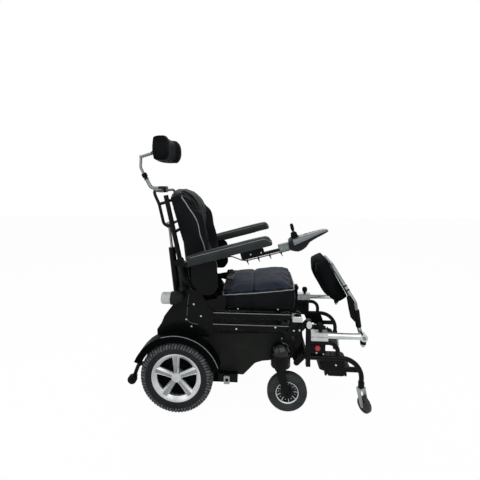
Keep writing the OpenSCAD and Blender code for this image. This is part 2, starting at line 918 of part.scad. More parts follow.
module power_module() {
    color("#202225") {
        block(base_rear_x + module_set, base_top, module_l, module_h - fin_h, -module_w / 2, module_w / 2);
        for (i = [0 : fin_count - 1])
            block(base_rear_x + module_set, base_top + module_h - fin_h, module_l, fin_h,
                -module_w / 2 + i * (module_w - fin_t) / (fin_count - 1),
                -module_w / 2 + i * (module_w - fin_t) / (fin_count - 1) + fin_t);
    }
}

// Covers
cover_line = shifted(spread(cover_shares, cover_l, cover_h), [cover_x0, cover_z0]);
module side_covers() {
    color("#1d1f21") pair() difference() {
        slab(cover_y - cover_t, cover_y) polygon(rounded(cover_line, cover_round));
        block(caster_x - stub_l / 2 - stub_clear, beam_z - stub_clear, stub_l + 2 * stub_clear,
            beam_h + 2 * stub_clear,
            cover_y - cover_t - cut, cover_y + cut);
    }
}
shell_rear_l = cover_x0 - shell_x0;
shell_rear_h = cover_line[0].y - shell_z0;
module base_shell() {
    line = concat(
        shifted(spread(shell_rear_shares, shell_rear_l, shell_rear_h), [shell_x0, shell_z0]),
        [for (i = [0 : 3]) cover_line[i] - [0, seat_gap]]);
    color("#1d1f21") difference() {
        slab(-cover_y + cover_t, cover_y - cover_t) polygon(band(line, cover_t));
        block(slot_x0, act_base_z, slot_l, cover_h, -slot_w / 2, slot_w / 2);
    }
}
module stay(x, top) {
    block(x, base_z + strap_foot, stay_w, top - base_z - strap_foot, base_y, base_y + stay_t);
    block(x, top - stay_tab_h, stay_w, stay_tab_h, base_y, guard_y0 + guard_t);
}
module mudguards() {
    color("#141517") pair() {
        turned([0, axle_z], 0) rotate([0, 0,
            guard_from]) rotate_extrude(angle = guard_to - guard_from) polygon([
            [guard_r - guard_skirt, guard_y1 - guard_t], [guard_r - guard_skirt, guard_y1], [guard_r,
                guard_y1],
            [guard_r, guard_y0], [guard_r - guard_lip, guard_y0], [guard_r - guard_lip, guard_y0 + guard_t],
            [guard_r - guard_t, guard_y0 + guard_t], [guard_r - guard_t, guard_y1 - guard_t]
        ]);
        stay(stay_front_x, stay_front_top);
        stay(stay_rear_x, stay_rear_top);
    }
}

// Anti-tip bars and rollers
anti_start = [base_rear_x, strap_z];
anti_knee = [anti_knee_x, strap_z];
module antitip_bars() {
    color("#16181a") pair() {
        bent_tube([at(anti_start, anti_y), at(anti_knee, anti_y), at(anti_pin, anti_y)], anti_d, anti_bend);
        pin(anti_pin, anti_y - anti_d / 2, anti_y + anti_d / 2, boss_d);
        headed_pin(anti_pin, anti_y, anti_y + anti_d / 2 + roller_w + 2 * side_gap, anti_pin_d, head_t,
            head_t);
    }
}
module antitip_rollers() {
    color("#2b2d2f") pair() turned(anti_pin, anti_y + anti_d / 2 + side_gap) difference() {
        rotate_extrude() polygon(rounded(spread(box_shares, roller_d / 2, roller_w), head_t));
        translate([0, 0, -cut]) cylinder(d = anti_pin_d + 2 * run_gap, h = roller_w + 2 * cut);
    }
}

// Drive wheels
module rear_tyre() {
    r0 = rear_rim_d / 2;
    r1 = rear_tyre_d / 2;
    color("#26282a") turned([0, axle_z], wheel_y - rear_tyre_w / 2) difference() {
        rotate_extrude() polygon(rounded(
            [[r0, rim_lip], [r0 + tyre_round, 0], [r1 - tyre_round / 2, 0], [r1, tyre_round / 2],
             [r1, rear_tyre_w - tyre_round / 2], [r1 - tyre_round / 2, rear_tyre_w],
             [r0 + tyre_round, rear_tyre_w], [r0, rear_tyre_w - rim_lip]], tyre_round / 2));
        for (i = [0 : lug_count - 1]) rotate([0, 0, 360 * i / lug_count])
            translate([r0 + (r1 - r0) * (1 - lug_reach_share), -lug_w / 2, rear_tyre_w - lug_depth])
                cube([r1 - r0, lug_w, tyre_round]);
    }
}
module spoke() {
    tip = rear_rim_d / 2 - rim_wall / 2;
    root = spoke_w * spoke_root_share;
    polygon([[0, -root], [tip, -spoke_w / 2], [tip, spoke_w / 2], [0, root]]);
}
module rear_rim() {
    r = rear_rim_d / 2 - seat_gap;
    w = rear_tyre_w - 2 * rim_lip;
    color("silver") difference() {
        union() {
            turned([0, axle_z], wheel_y - w / 2) rotate_extrude() polygon([
                [r - rim_wall, 0], [r - rim_wall / 3, 0], [r, rim_wall / 2], [r, w - rim_wall / 2],
                    [r - rim_wall / 3, w],
                [r - rim_wall / 2, w], [r - rim_wall, w - rim_wall]]);
            pin([0, axle_z], wheel_y - w / 2, wheel_y - w / 2 + rim_web_t, 2 * r - rim_wall);
            turned([0, axle_z], wheel_y + w / 2 - face_set - spoke_t) linear_extrude(spoke_t)
                for (i = [0 : spoke_count - 1]) rotate(spoke_angle + 360 * i / spoke_count) spoke();
            pin([0, axle_z], wheel_y - w / 2, wheel_y + w / 2 - face_set + head_t, hub_d);
            pin([0, axle_z], motor_y0 + gearbox_y0 / 2 + side_gap, wheel_y, shaft_d);
        }
        for (i = [0 : nut_count - 1]) let(a = spoke_angle + 180 / nut_count + 360 * i / nut_count)
            pin([nut_circle_d / 2 * cos(a), axle_z + nut_circle_d / 2 * sin(a)], wheel_y + w / 2 - face_set,
                wheel_y + w / 2 + cut, nut_d);
    }
}

// Front casters, with the axle ahead of the swivel axis
caster_pin = [caster_x + caster_trail, caster_z];
fork_in = caster_w / 2 + fork_gap;
module caster_fork() {
    color("#141517") {
        post(caster_x, caster_y, crown_z, crown_d, crown_h);
        translate([caster_x, -caster_y, crown_z + crown_h]) cylinder(d = stem_d,
            h = pot_z + stem_h - crown_z - crown_h);
        for (s = [-1, 1]) slab(caster_y + s * (fork_in + fork_arm_t / 2) - fork_arm_t / 2,
            caster_y + s * (fork_in + fork_arm_t / 2) + fork_arm_t / 2)
            polygon(lobe([caster_x, crown_z + crown_h / 2 - fork_arm_top_r / 2], caster_pin,
                fork_arm_top_r, fork_arm_low_r));
        block(caster_x - fork_arm_top_r, crown_z, 2 * fork_arm_top_r, crown_h / 2,
            caster_y - fork_in - fork_arm_t,
            caster_y + fork_in + fork_arm_t);
        pin(caster_pin, caster_y - fork_in - fork_arm_t - head_t,
            caster_y + fork_in + fork_arm_t + head_t, caster_pin_d);
    }
}
module caster_tyre() {
    r0 = caster_rim_d / 2;
    r1 = caster_d / 2;
    w = caster_w;
    line = shifted(spread(caster_tyre_shares, r1 - r0, w), [r0, 0]);
    color("#2a2c2e") turned(caster_pin, caster_y - w / 2) rotate_extrude()
        polygon(rounded(line, w * caster_round_share));
}
module caster_hub() {
    r = caster_rim_d / 2 - seat_gap;
    w = caster_w * caster_hub_share;
    color("#8f9295") difference() {
        union() {
            turned(caster_pin, caster_y - w / 2) rotate_extrude()
                polygon([[r - caster_ring_t, 0], [r, 0], [r, w], [r - caster_ring_t, w]]);
            turned(caster_pin, caster_y - w / 4) linear_extrude(w / 2)
                for (i = [0 : caster_spokes - 1]) rotate(360 * i / caster_spokes)
                    translate([0, -caster_spoke_t / 2]) square([r - caster_ring_t / 2, caster_spoke_t]);
            pin(caster_pin, caster_y - caster_w / 2, caster_y + caster_w / 2, caster_hub_d);
        }
        pin(caster_pin, caster_y - caster_w, caster_y + caster_w, caster_pin_d + 2 * run_gap);
    }
}

// Seat and lower rails
rail_top = stand_z + bar_h / 2;
seat_tube_z = rail_top - seat_tube_d / 2 + guard_t / 2;
module rail(rear, front) {
    difference() {
        slab(bar_y0, bar_y1) polygon(lobe(rear, front, bar_h / 2, bar_h / 2));
        for (p = [rear, front]) pin(p, bar_y0 - cut, bar_y1 + cut, pin_d + 2 * run_gap);
    }
}
act_slot_end = act_eye + [act_slot_run, 0];
module act_lug() {
    slab(act_eye_y + side_gap, act_eye_y + side_gap + act_lug_t) difference() {
        union() {
            polygon(lobe(act_eye, act_slot_end, act_eye_r, act_eye_r));
            polygon(lobe([seat_tube_front_x, seat_tube_z], act_slot_end, seat_tube_d / 2, act_eye_r));
        }
        polygon(lobe(act_eye, act_slot_end, act_pin_d / 2 + act_slot_free, act_pin_d / 2 + act_slot_free));
    }
}
module seat_frame() {
    color("#16181a") {
        pair() {
            rail(stand_rear, stand_pin);
            act_lug();
        }
        for (x = [seat_tube_rear_x, seat_tube_front_x])
            pin([x, seat_tube_z], -bar_y0 - bar_w / 4, bar_y0 + bar_w / 4, seat_tube_d);
        slab(-pan_y, pan_y) polygon([[pan_x0, rail_top], [pan_x0 + pan_l, rail_top],
            [pan_x0 + pan_l, rail_top + pan_front_h], [pan_x0, rail_top + pan_rear_h]]);
    }
}
module lower_rails() { color("#16181a") pair() rail(lower_rear, lower_pin); }

// Seat cushion: the front of its side is higher, and a sewn channel runs across its top
seat_mid_x = seat_front - seat_l / 2;
seat_base_z = rail_top + pan_rear_h + seat_gap;
function seat_floor(x) = seat_base_z + (pan_front_h - pan_rear_h) * (x - pan_x0) / pan_l;
function seat_edge(x) = seat_floor(x) + seat_side_h + seat_rise * (x - seat_mid_x + seat_l / 2) / seat_l;
function channel(v, at_share, width_share) = max(0, 1 - abs(abs(v) - at_share) / width_share);
function seat_plan(u, v, draw) =
    let(p = squircle(u, v, seat_corner_share)) [seat_mid_x + p.x * (seat_l / 2 - draw),
        p.y * (seat_w / 2 - draw)];
channel_at_share = -0.12;
channel_width_share = 0.12;
module seat_cushion() {
    face = function(u, v) let(p = seat_plan(u, v, 0)) [p.x, p.y,
        seat_edge(p.x) + seat_crown * (1 - pow(u, 4)) * (1 - pow(v, 4))
        - channel_depth * channel(u - channel_at_share, 0, channel_width_share) * (1 - pow(v, 6))];
    ring = function(draw, share) function(u, v) let(p = seat_plan(u, v, draw), q = seat_plan(u, v, 0))
        [p.x, p.y, between(seat_floor(p.x), seat_edge(q.x), share)];
    color("#23262c") cushion(20, 20, face,
        [ring(-seat_gap, seat_ring_shares[0]), ring(seat_side_draw / 2, seat_ring_shares[1]),
         ring(seat_side_draw, seat_ring_shares[2]), ring(seat_side_draw, 0)],
        [seat_mid_x, 0, seat_floor(seat_mid_x)]);
}

// Lap belt across the rear of the cushion
module lap_belt() {
    top = function(y) let(v = y / (seat_w / 2)) seat_edge(belt_x + belt_w) + seat_crown * (1 - pow(v,
        4)) + belt_t / 2;
    half = seat_w / 2 + belt_t;
    line = concat([[half, rail_top], [half, seat_edge(belt_x)]],
        [for (i = [9 : -1 : 0]) [half * i / 10, top(half * i / 10)]]);
    color("#101112") {
        pair() translate([belt_x, 0, 0]) rotate([90, 0, 90]) linear_extrude(belt_w)
            mirror([1, 0]) polygon(band([for (i = [len(line) - 1 : -1 : 0]) line[i]], -belt_t));
        translate([belt_x + (belt_w - buckle_w) / 2, -buckle_l / 2, top(0)]) cube([buckle_w, buckle_l,
            buckle_h]);
    }
}

// Back carrier with the rear lamps
carrier_line = shifted(spread(carrier_shares, carrier_l, carrier_h), [carrier_x0, carrier_z0]);
carrier_tube = [carrier_tube_x, carrier_tube_z];
module carrier_frame() {
    color("#16181a") {
        pair() {
            slab(carrier_y0, carrier_y1) polygon(rounded(carrier_line, carrier_round));
            for (p = [stand_rear, lower_rear])
                headed_pin(p, bar_y0 - side_gap, carrier_y1, pin_d, head_t / 2, 2 * head_t);
            headed_pin(recline_pin, cane_y - cane_d / 2, carrier_y1, pin_d, head_t / 2, 2 * head_t);
        }
        pin(strut_low, -carrier_y0, carrier_y0, strut_tube_d);
        pin(carrier_tube, -carrier_y0, carrier_y0, carrier_tube_d);
    }
}
module on_lamp() { translate([lamp_x0, -lamp_y, lamp_z]) rotate([0, 90, 0]) children(); }
module rear_lamps() {
    r = lamp_d / 2;
    body = lamp_l - lens_l;
    color("#1b1c1e") pair() {
        on_lamp() translate([0, 0, lens_l]) rotate_extrude() polygon([
            [r - lamp_wall, 0], [r, 0], [r, body * lamp_waist_share], [r * lamp_tail_share, body], [0, body],
            [0, lens_seat + seat_gap], [r - lamp_wall, lens_seat + seat_gap]]);
        block(lamp_x0 + lens_l + body / 3, lamp_z - lamp_foot / 2, body / 3, lamp_foot, carrier_y1,
            lamp_y - r / 2);
    }
}
module lamp_lenses() {
    r = lamp_d / 2 - lamp_wall - seat_gap;
    color("#d8dcdf") pair() on_lamp() rotate_extrude() polygon([
        [0, -lens_dome], [r * lens_flat_share, -lens_dome], [r, lens_dome],
        [r, lens_l + lens_seat], [0, lens_l + lens_seat]]);
}

// Back frame with its push bar
cane_low = [cane_low_x, cane_low_z];
cane_top = [cane_top_x, cane_top_z];
push_top = [push_top_x, push_top_z];
push_mid = [push_mid_x, push_mid_z];
push_low = [push_low_x, push_low_z];
push_join = between(cane_low, cane_top, push_join_share);
arm_plate_y1 = arm_plate_y0 + arm_plate_t;
function from_back(p) =
    let(d = p - [back_x, back_z])
    [d.x * cos(back_lean) + d.y * sin(back_lean), d.y * cos(back_lean) - d.x * sin(back_lean)];
module on_back() { translate([back_x, 0, back_z]) rotate([0, -back_lean, 0]) children(); }
module back_strap() {
    strap_face = -seat_gap - strap_back_t;
    on_back() {
        translate([strap_face, -strap_back_y - strap_back_w / 2, back_l * strap_end_share])
            cube([strap_back_t, strap_back_w, back_l * (1 - 2 * strap_end_share)]);
        for (share = rung_shares) {
            rung = from_back(between(cane_low, cane_top, share));
            translate([rung.x, -strap_back_y - rung_d / 2, rung.y - rung_d / 3])
                cube([strap_face + strap_back_t / 2 - rung.x, rung_d, rung_d * 2 / 3]);
        }
    }
}
module back_frame() {
    side = [push_join, push_low, push_mid, push_top];
    color("#131416") difference() {
        union() {
            pair() {
                bent_tube([at(recline_pin, cane_y), at(cane_low, cane_y), at(cane_top, cane_y)], cane_d,
                    cane_bend);
                pin(recline_pin, cane_y - cane_d / 2, cane_y + cane_d / 2, cane_boss_d);
                rod(at(push_mid, cane_y), at(between(cane_low, cane_top, push_arm_share), cane_y), push_d);
                pin(arm_pin, cane_y, arm_plate_y0 - side_gap, arm_boss_d);
                headed_pin(arm_pin, cane_y, arm_plate_y1 + side_gap, arm_pin_d, head_t / 2, head_t);
                back_strap();
            }
            bent_tube(concat([for (p = side) at(p, cane_y)], [for (i = [3 : -1 : 0]) at(side[i],
                -cane_y)]), push_d, push_bend);
            pin(strut_top, -cane_y, cane_y, push_d);
            for (share = rung_shares) pin(between(cane_low, cane_top, share), -cane_y, cane_y, rung_d);
        }
        for (s = [-1, 1]) pin(recline_pin, s * cane_y - cane_d, s * cane_y + cane_d, pin_d + 2 * run_gap);
    }
}

// Back cushion: two bolsters that fade toward the arched top
back_corner_share = 0.24;
back_arch_share = 0.05;
back_edge_share = 0.86;
back_channel_shares = [0.3, 0.4, 0.09];
bolster_shares = [0.42, 0.76, 0.86, 0.25];
bolster_low_share = -0.2;
bolster_foot_share = 0.6;
bulge_shares = [-0.1, 0.4, 0.72];
back_ring_shares = [0.8, 0.4];
function bolster(u, v) =
    smooth(abs(u), bolster_shares[0], bolster_shares[1])
    * (1 - bolster_shares[3] * smooth(abs(u), bolster_shares[2], 1))
    * (v < bolster_low_share
        ? between(bolster_foot_share, 1, smooth(v, -1, bolster_low_share))
        : 1 - smooth(v, 0, 1));
function bulge(u, v) =
    smooth(v, bulge_shares[0], bulge_shares[1]) * (1 - smooth(v, bulge_shares[2], 1)) * (1 - pow(u, 4));
function back_seam(u, v) =
    max(channel(v, back_channel_shares[0], back_channel_shares[2]),
        channel(u, back_channel_shares[1], back_channel_shares[2])) * (1 - pow(v, 6)) * (1 - pow(u, 6));
module back_cushion() {
    plan = function(u, v, draw) let(p = squircle(u, v, back_corner_share)) [
        p.x * (back_w / 2 - draw),
        back_l / 2 + p.y * (back_l / 2 - draw) - back_l * back_arch_share * u * u * max(v, 0)];
    depth = function(u, v)
        back_core * between(back_edge_share, 1, (1 - pow(u, 4)) * (1 - pow(v, 4)))
        + bolster_h * bolster(u, v) + back_bulge * bulge(u, v) - channel_depth * back_seam(u, v);
    color("#17181a") on_back() pad(24, 20, plan, depth, back_draw, back_ring_shares, [0, 0, back_l / 2]);
}

// Headrest on a bent bar
bar_start = [bar_start_x, bar_start_z];
mast_top = [mast_top_x, mast_top_z];
mast_dir = [-cos(mast_rise), sin(mast_rise)];
bar_knee = mast_top - mast_dir * (mast_top_z - bar_start_z) / mast_dir.y;
mast_knee = mast_top + mast_dir * mast_knee_l;
mast_end = [mast_end_x, mast_end_z];
ball = [ball_x, ball_z];
module headrest_bar() {
    color("silver") difference() {
        union() {
            block(push_top.x - head_block_l * head_grip_share, push_top.y - head_block_h / 3,
                head_block_l, head_block_h,
                -head_block_w / 2, head_block_w / 2);
            bent_tube([at(bar_start, 0), at(bar_knee, 0), at(mast_top, 0)], mast_tube_d, mast_bend);
            rod(at(mast_top - mast_dir * collar_l, 0), at(mast_top, 0), collar_d);
        }
        pin(push_top, -head_block_w, head_block_w, push_d + 2 * seat_gap);
        rod(at(mast_top - mast_dir * mast_sink, 0), at(mast_top + mast_dir * cut, 0), mast_d + 2 * run_gap);
    }
}
module headrest_mast() {
    neck = unit(ball - mast_end);
    reach = norm(ball - mast_end);
    color("silver") {
        bent_tube([at(mast_top - mast_dir * (mast_sink - side_gap), 0), at(mast_knee, 0), at(mast_end,
            0)], mast_d, mast_bend);
        rod(at(mast_end, 0), at(ball, 0), neck_d);
        translate(at(mast_end, 0)) sphere(d = rib_d);
        translate(at(ball, 0)) sphere(d = ball_d);
        pin(ball, -cup_d / 2, cup_d / 2, tilt_pin_d);
        for (i = [1 : neck_ribs])
            let(p = mast_end + neck * reach * i / (neck_ribs + neck_free)) rod(at(p, 0),
                at(p + neck * rib_t, 0), rib_d);
    }
}
head_corner_share = 0.5;
head_edge_share = 0.8;
head_wing_shares = [0.3, 0.78, 0.86];
head_tip_share = 0.12;
head_taper_share = 0.3;
head_ring_shares = [0.85, 0.4];
module headrest_cushion() {
    plan = function(u, v, draw) let(p = squircle(u, v, head_corner_share))
        [p.x * (head_w / 2 - draw), p.y * (head_h / 2 - draw)];
    wing = function(u, v)
        smooth(abs(u), head_wing_shares[0], head_wing_shares[1])
        * (1 - head_tip_share * smooth(abs(u), head_wing_shares[2], 1)) * (1 - head_taper_share * v * v);
    depth = function(u, v) head_core * between(head_edge_share, 1, 1 - pow(v, 4)) + head_wing * wing(u, v);
    color("#17181a") {
        translate([head_back_x, 0, head_mid_z]) pad(22, 12, plan, depth, head_draw, head_ring_shares, [0,
            0, 0]);
        difference() {
            union() {
                translate([ball_x, 0, ball_z]) rotate([0, 90, 0])
                    cylinder(d = cup_d, h = head_back_x - ball_x + head_draw);
                pair() pin(ball, ball_d / 2 + side_gap, cup_d / 2, tilt_ear_d);
            }
            translate(at(ball, 0)) sphere(d = ball_d + 2 * seat_gap);
            pin(ball, -cup_d, cup_d, tilt_pin_d + 2 * run_gap);
        }
    }
}

// Recline struts
strut_dir = unit(strut_top - strut_low);
module recline_tubes() {
    color("#1b1c1e") pair() difference() {
        union() {
            pin(strut_low, strut_y - strut_eye_t / 2, strut_y + strut_eye_t / 2,
                strut_tube_d + 2 * strut_wall);
            rod(at(strut_low + strut_dir * strut_tube_d / 2, strut_y),
                at(strut_low + strut_dir * strut_l, strut_y), strut_d);
        }
        pin(strut_low, strut_y - strut_d, strut_y + strut_d, strut_tube_d + 2 * run_gap);
        rod(at(strut_low + strut_dir * strut_floor, strut_y), at(strut_low + strut_dir * (strut_l + cut),
            strut_y),
            strut_rod_d + 2 * run_gap);
    }
}
module recline_rods() {
    eye_r = push_d / 2 + strut_free;
    color("silver") pair() difference() {
        union() {
            rod(at(strut_low + strut_dir * strut_rod_in, strut_y), at(strut_top - strut_dir * eye_r,
                strut_y), strut_rod_d);
            pin(strut_top, strut_y - strut_eye_t / 2, strut_y + strut_eye_t / 2, 2 * (eye_r + strut_wall));
        }
        pin(strut_top, strut_y - strut_d, strut_y + strut_d, 2 * eye_r);
    }
}

// Stand-up actuator, whose rod pin rides in the slots of the seat's lugs
act_dir = unit(act_eye - act_base);
module stand_tube() {
    color("#1b1c1e") difference() {
        union() {
            pin(act_base, -act_eye_y, act_eye_y, act_tube_d + 2 * act_wall);
            rod(at(act_base + act_dir * act_tube_d / 2, 0), at(act_base + act_dir * act_l, 0), act_d);
        }
        pin(act_base, -act_d, act_d, act_tube_d + 2 * run_gap);
        rod(at(act_base + act_dir * (act_rod_in - side_gap), 0), at(act_base + act_dir * (act_l + cut), 0),
            act_rod_d + 2 * run_gap);
    }
}
module stand_rod() {
    color("silver") {
        rod(at(act_base + act_dir * act_rod_in, 0), at(act_eye, 0), act_rod_d);
        pin(act_eye, -act_eye_y, act_eye_y, 2 * act_eye_r);
        pin(act_eye, -act_eye_y - side_gap - act_lug_t, act_eye_y + side_gap + act_lug_t, act_pin_d);
    }
}

// Arms, drawn in a frame that lies along the arm
module on_arm() { translate([arm_pin.x, 0, arm_pin.y]) rotate([0, -arm_slope, 0]) children(); }
arm_tube_y1 = arm_plate_y1 + arm_tube_w;
module arm_frame() {
    color("#1a1b1d") on_arm() {
        difference() {
            slab(arm_plate_y0, arm_plate_y1) {
                polygon(lobe([0, 0], [pad_start, -arm_boss_d / 2], arm_boss_d / 2, arm_tube_h / 2));
                polygon(rounded(shifted(spread(panel_shares, panel_l, panel_h), [panel_start,
                    panel_low]), panel_round));
            }
            pin([0, 0], arm_plate_y0 - cut, arm_plate_y1 + cut, arm_pin_d + 2 * run_gap);
        }
        block(arm_tube_start, -arm_tube_h, arm_tube_l - arm_tube_start, arm_tube_h, arm_plate_y1,
            arm_tube_y1);
    }
}
rail_y1 = rail_y0 + rail_w;
module controller_rail() {
    color("#1a1b1d") on_arm() {
        block(rail_start, -rail_drop - rail_h / 2, control_start - block_l - rail_start, rail_h, rail_y0,
            rail_y1);
        for (l = [rail_start, arm_tube_l - hanger_w])
            block(l, -rail_drop, hanger_w, rail_drop - arm_tube_h, rail_y0 + hanger_t / 2,
                rail_y0 + hanger_t / 2 + hanger_t);
        block(control_start - block_l, -rail_drop - rail_h / 2, block_l, block_h, arm_y - block_h / 2,
            arm_y + block_h / 2);
    }
}
module arm_frame_right() { arm_frame(); controller_rail(); }
arm_corner_share = 0.12;
arm_edge_share = 0.8;
arm_end_share = 0.2;
arm_nose_share = 0.18;
arm_lift_share = 0.35;
arm_ring_shares = [0.7, 0.35];
module arm_pad() {
    mid = pad_start + arm_pad_l / 2;
    nose_start = arm_tube_l + head_t;
    droop = function(l) -pad_nose * smooth(l, nose_start, arm_tube_l + arm_pad_l * arm_nose_share);
    plan = function(u, v, draw) let(p = squircle(u, v, arm_corner_share))
        [mid + p.x * (arm_pad_l / 2 - draw), p.y * (arm_pad_w / 2 - draw) - arm_y];
    crown = function(u, v) between(arm_edge_share, 1, 1 - pow(v, 4)) * (1 - arm_end_share * pow(u, 8));
    face = function(u, v) let(p = plan(u, v, 0))
        [p.x, p.y, arm_pad_h * crown(u, v) + droop(p.x) * arm_lift_share];
    ring = function(draw, share) function(u, v) let(p = plan(u, v, draw), top = face(u, v).z)
        [p.x, p.y, between(seat_gap + droop(p.x), top, share)];
    color("#2a2b2e") on_arm() cushion(24, 8, face,
        [ring(-seat_gap, arm_ring_shares[0]), ring(seat_gap, arm_ring_shares[1]), ring(pad_draw, 0)],
        [nose_start, -arm_y, seat_gap]);
}

// Joystick controller
control_plan_shares = [[0, 0], [0.66, 0], [1, 0.24], [1, 0.76], [0.66, 1], [0, 1]];
control_mid = arm_y - control_w / 2;
button_top = control_low + control_h * button_rise_share + head_t / 2;
module controller() {
    color("#b9bcc0") on_arm() difference() {
        intersection() {
            slab(control_mid, control_mid + control_w)
                polygon(rounded(shifted(spread(control_shares, control_l, control_h), [control_start,
                    control_low]), control_round));
            translate([control_start, -control_mid - control_w,
                control_low - cut]) linear_extrude(control_h + 2 * cut)
                polygon(rounded(spread(control_plan_shares, control_l, control_w), control_round));
        }
        post(stick_at, arm_y, stick_pivot - well_drop, well_d, control_h);
        pin([stick_at, stick_pivot], arm_y - gimbal_bore_l / 2, arm_y + gimbal_bore_l / 2,
            gimbal_pin_d + 2 * run_gap);
        post(button_at, arm_y, button_top - button_h - button_travel - seat_gap, button_d + 2 * seat_gap,
            control_h);
    }
}
module joystick_gimbal() {
    color("#3a3c3f") on_arm() difference() {
        union() {
            post(stick_at, arm_y, stick_pivot - gimbal_h / 2, gimbal_d, gimbal_h);
            pin([stick_at, stick_pivot], arm_y - gimbal_pin_l / 2, arm_y + gimbal_pin_l / 2, gimbal_pin_d);
        }
        post(stick_at, arm_y, stick_pivot - gimbal_h, gimbal_bore_d, 2 * gimbal_h);
        translate([stick_at - gimbal_d, -arm_y, stick_pivot]) rotate([0, 90, 0])
            cylinder(d = gimbal_pin_d + 2 * run_gap, h = 2 * gimbal_d);
    }
}
module joystick() {
    boot_z = stick_pivot + boot_lift;
    color("#141516") on_arm() {
        translate([stick_at, -arm_y, stick_pivot - gimbal_h / 2]) cylinder(d = stick_d,
            h = gimbal_h / 2 + boot_lift);
        translate([stick_at - cross_pin_l / 2, -arm_y, stick_pivot]) rotate([0, 90, 0])
            cylinder(d = gimbal_pin_d, h = cross_pin_l);
        translate([stick_at, -arm_y, boot_z]) rotate_extrude() polygon(concat(
            [[0, 0], [boot_low_d / 2, 0], [boot_low_d * boot_waist_share, boot_h / 3], [boot_top_d / 2,
                boot_h],
             [stick_d / 2, boot_h], [stick_d / 2, boot_h + knob_neck]],
            shifted(spread(stick_knob_shares, knob_d, knob_h), [0, boot_h + knob_neck])));
    }
}
module power_button() {
    color("#2d6b3c") on_arm() translate([button_at, -arm_y,
        button_top - button_h]) cylinder(d = button_d, h = button_h);
}
module controller_cable() {
    color("#17181a") on_arm() {
        cord([for (p = cable_route) [p.x, -p.y, p.z]], cable_d, cable_sides);
    }
}

// Parallel links that carry the foot frame
module foot_link(a, b) {
    difference() {
        slab(foot_link_y0, foot_link_y1) polygon(lobe(a, b, foot_link_r, foot_link_r));
        for (p = [a, b]) pin(p, foot_link_y0 - cut, foot_link_y1 + cut, pin_d + 2 * run_gap);
    }
}
module foot_links_lower() { color("#1b1c1e") pair() foot_link(foot_low, foot_low_end); }
module foot_links_upper() { color("#1b1c1e") pair() foot_link(foot_up, foot_up_end); }

// Foot frame
web_line = shifted(spread(web_shares, web_l, web_h), [web_x0, web_z0]);
module hinge_rod(x, l, d) { translate([x, -hinge_y, hinge_z]) rotate([0, 90, 0]) cylinder(d = d, h = l); }
module foot_side() {
    block(post_x - post_w / 2, post_z0, post_w, post_top - post_z0, post_y0, post_y0 + post_t);
    for (p = [foot_low_end, foot_up_end]) {
        slab(post_y0, post_y0 + post_t / 2) polygon(lobe(p, [post_x, p.y], foot_tab_r,
            post_w / 2 - side_gap));
        pin(p, foot_link_y0 + seat_gap, post_y0 + post_t / 2, pin_d);
    }
    difference() {
        union() {
            bent_tube([at([post_x, foot_tube_z], foot_y), at([foot_tube_end, foot_tube_z], foot_y),
                at([foot_tube_end, socket_z0 + socket_h / 2], foot_y)], foot_tube_d, foot_bend);
            post(foot_tube_end, foot_y, socket_z0, socket_d, socket_h);
        }
        translate([foot_tube_end, -foot_y, socket_z0 - cut]) cylinder(d = foot_stem_d + 2 * run_gap,
            h = foot_stem_h + cut + side_gap);
    }
    bent_tube([at([post_x, foot_hoop_z], foot_y), at([foot_hoop_x, foot_hoop_z], foot_y),
        at([foot_hoop_x, foot_tube_z], foot_y)],
        foot_hoop_d, foot_hoop_bend);
    slab(web_y0, web_y0 + web_t) difference() {
        polygon(rounded(web_line, web_round));
        polygon(lobe([slot_at_x - slot_run, slot_at_z], [slot_at_x + slot_run, slot_at_z], slot_r, slot_r));
    }
    block(strip_x0, strip_z - strip_h / 2, foot_tube_end - strip_x0, strip_h, web_y0, web_y0 + strip_t);
    for (x = [hinge_x0, hinge_x0 + hinge_l - ear_t]) {
        hinge_rod(x, ear_t, 2 * ear_r);
        block(x, hinge_z - ear_r, ear_t, ear_h, hinge_y, web_y0 + web_t / 2);
    }
    hinge_rod(hinge_x0, hinge_l, hinge_d);
}
module foot_frame() {
    color("#1a1b1d") {
        pair() foot_side();
        pin([post_x + cross_tube_set, cross_tube_z], -foot_y, foot_y, cross_tube_d);
    }
    color("#b3202a") pair() pin([release_x, release_z], web_y0 + web_t, web_y0 + web_t + release_l,
        release_d);
}

// Foot plates, hinged along X
module foot_plate() {
    barrel_x = hinge_x0 + ear_t + side_gap;
    barrel_l = hinge_l - 2 * ear_t - 2 * side_gap;
    edge = hinge_y - ear_r - head_t / 2;
    color("#202224") difference() {
        union() {
            hinge_rod(barrel_x, barrel_l, 2 * ear_r);
            block(barrel_x, hinge_z - plate_t / 2, barrel_l, plate_t, edge - head_t, hinge_y);
            translate([plate_x0, 0, hinge_z - plate_t / 2]) linear_extrude(plate_t) polygon(rounded(
                [[0, -edge], [plate_l, -edge], [plate_l, plate_w - hinge_y], [0, plate_w - hinge_y]],
                    plate_round));
        }
        hinge_rod(barrel_x - cut, barrel_l + 2 * cut, hinge_d + 2 * run_gap);
        for (i = [1 : groove_count])
            block(plate_x0 + plate_l * i / (groove_count + 1), hinge_z + plate_t / 2 - groove_t,
                groove_w, plate_t,
                hinge_y - plate_w + plate_round, edge - plate_round);
    }
}

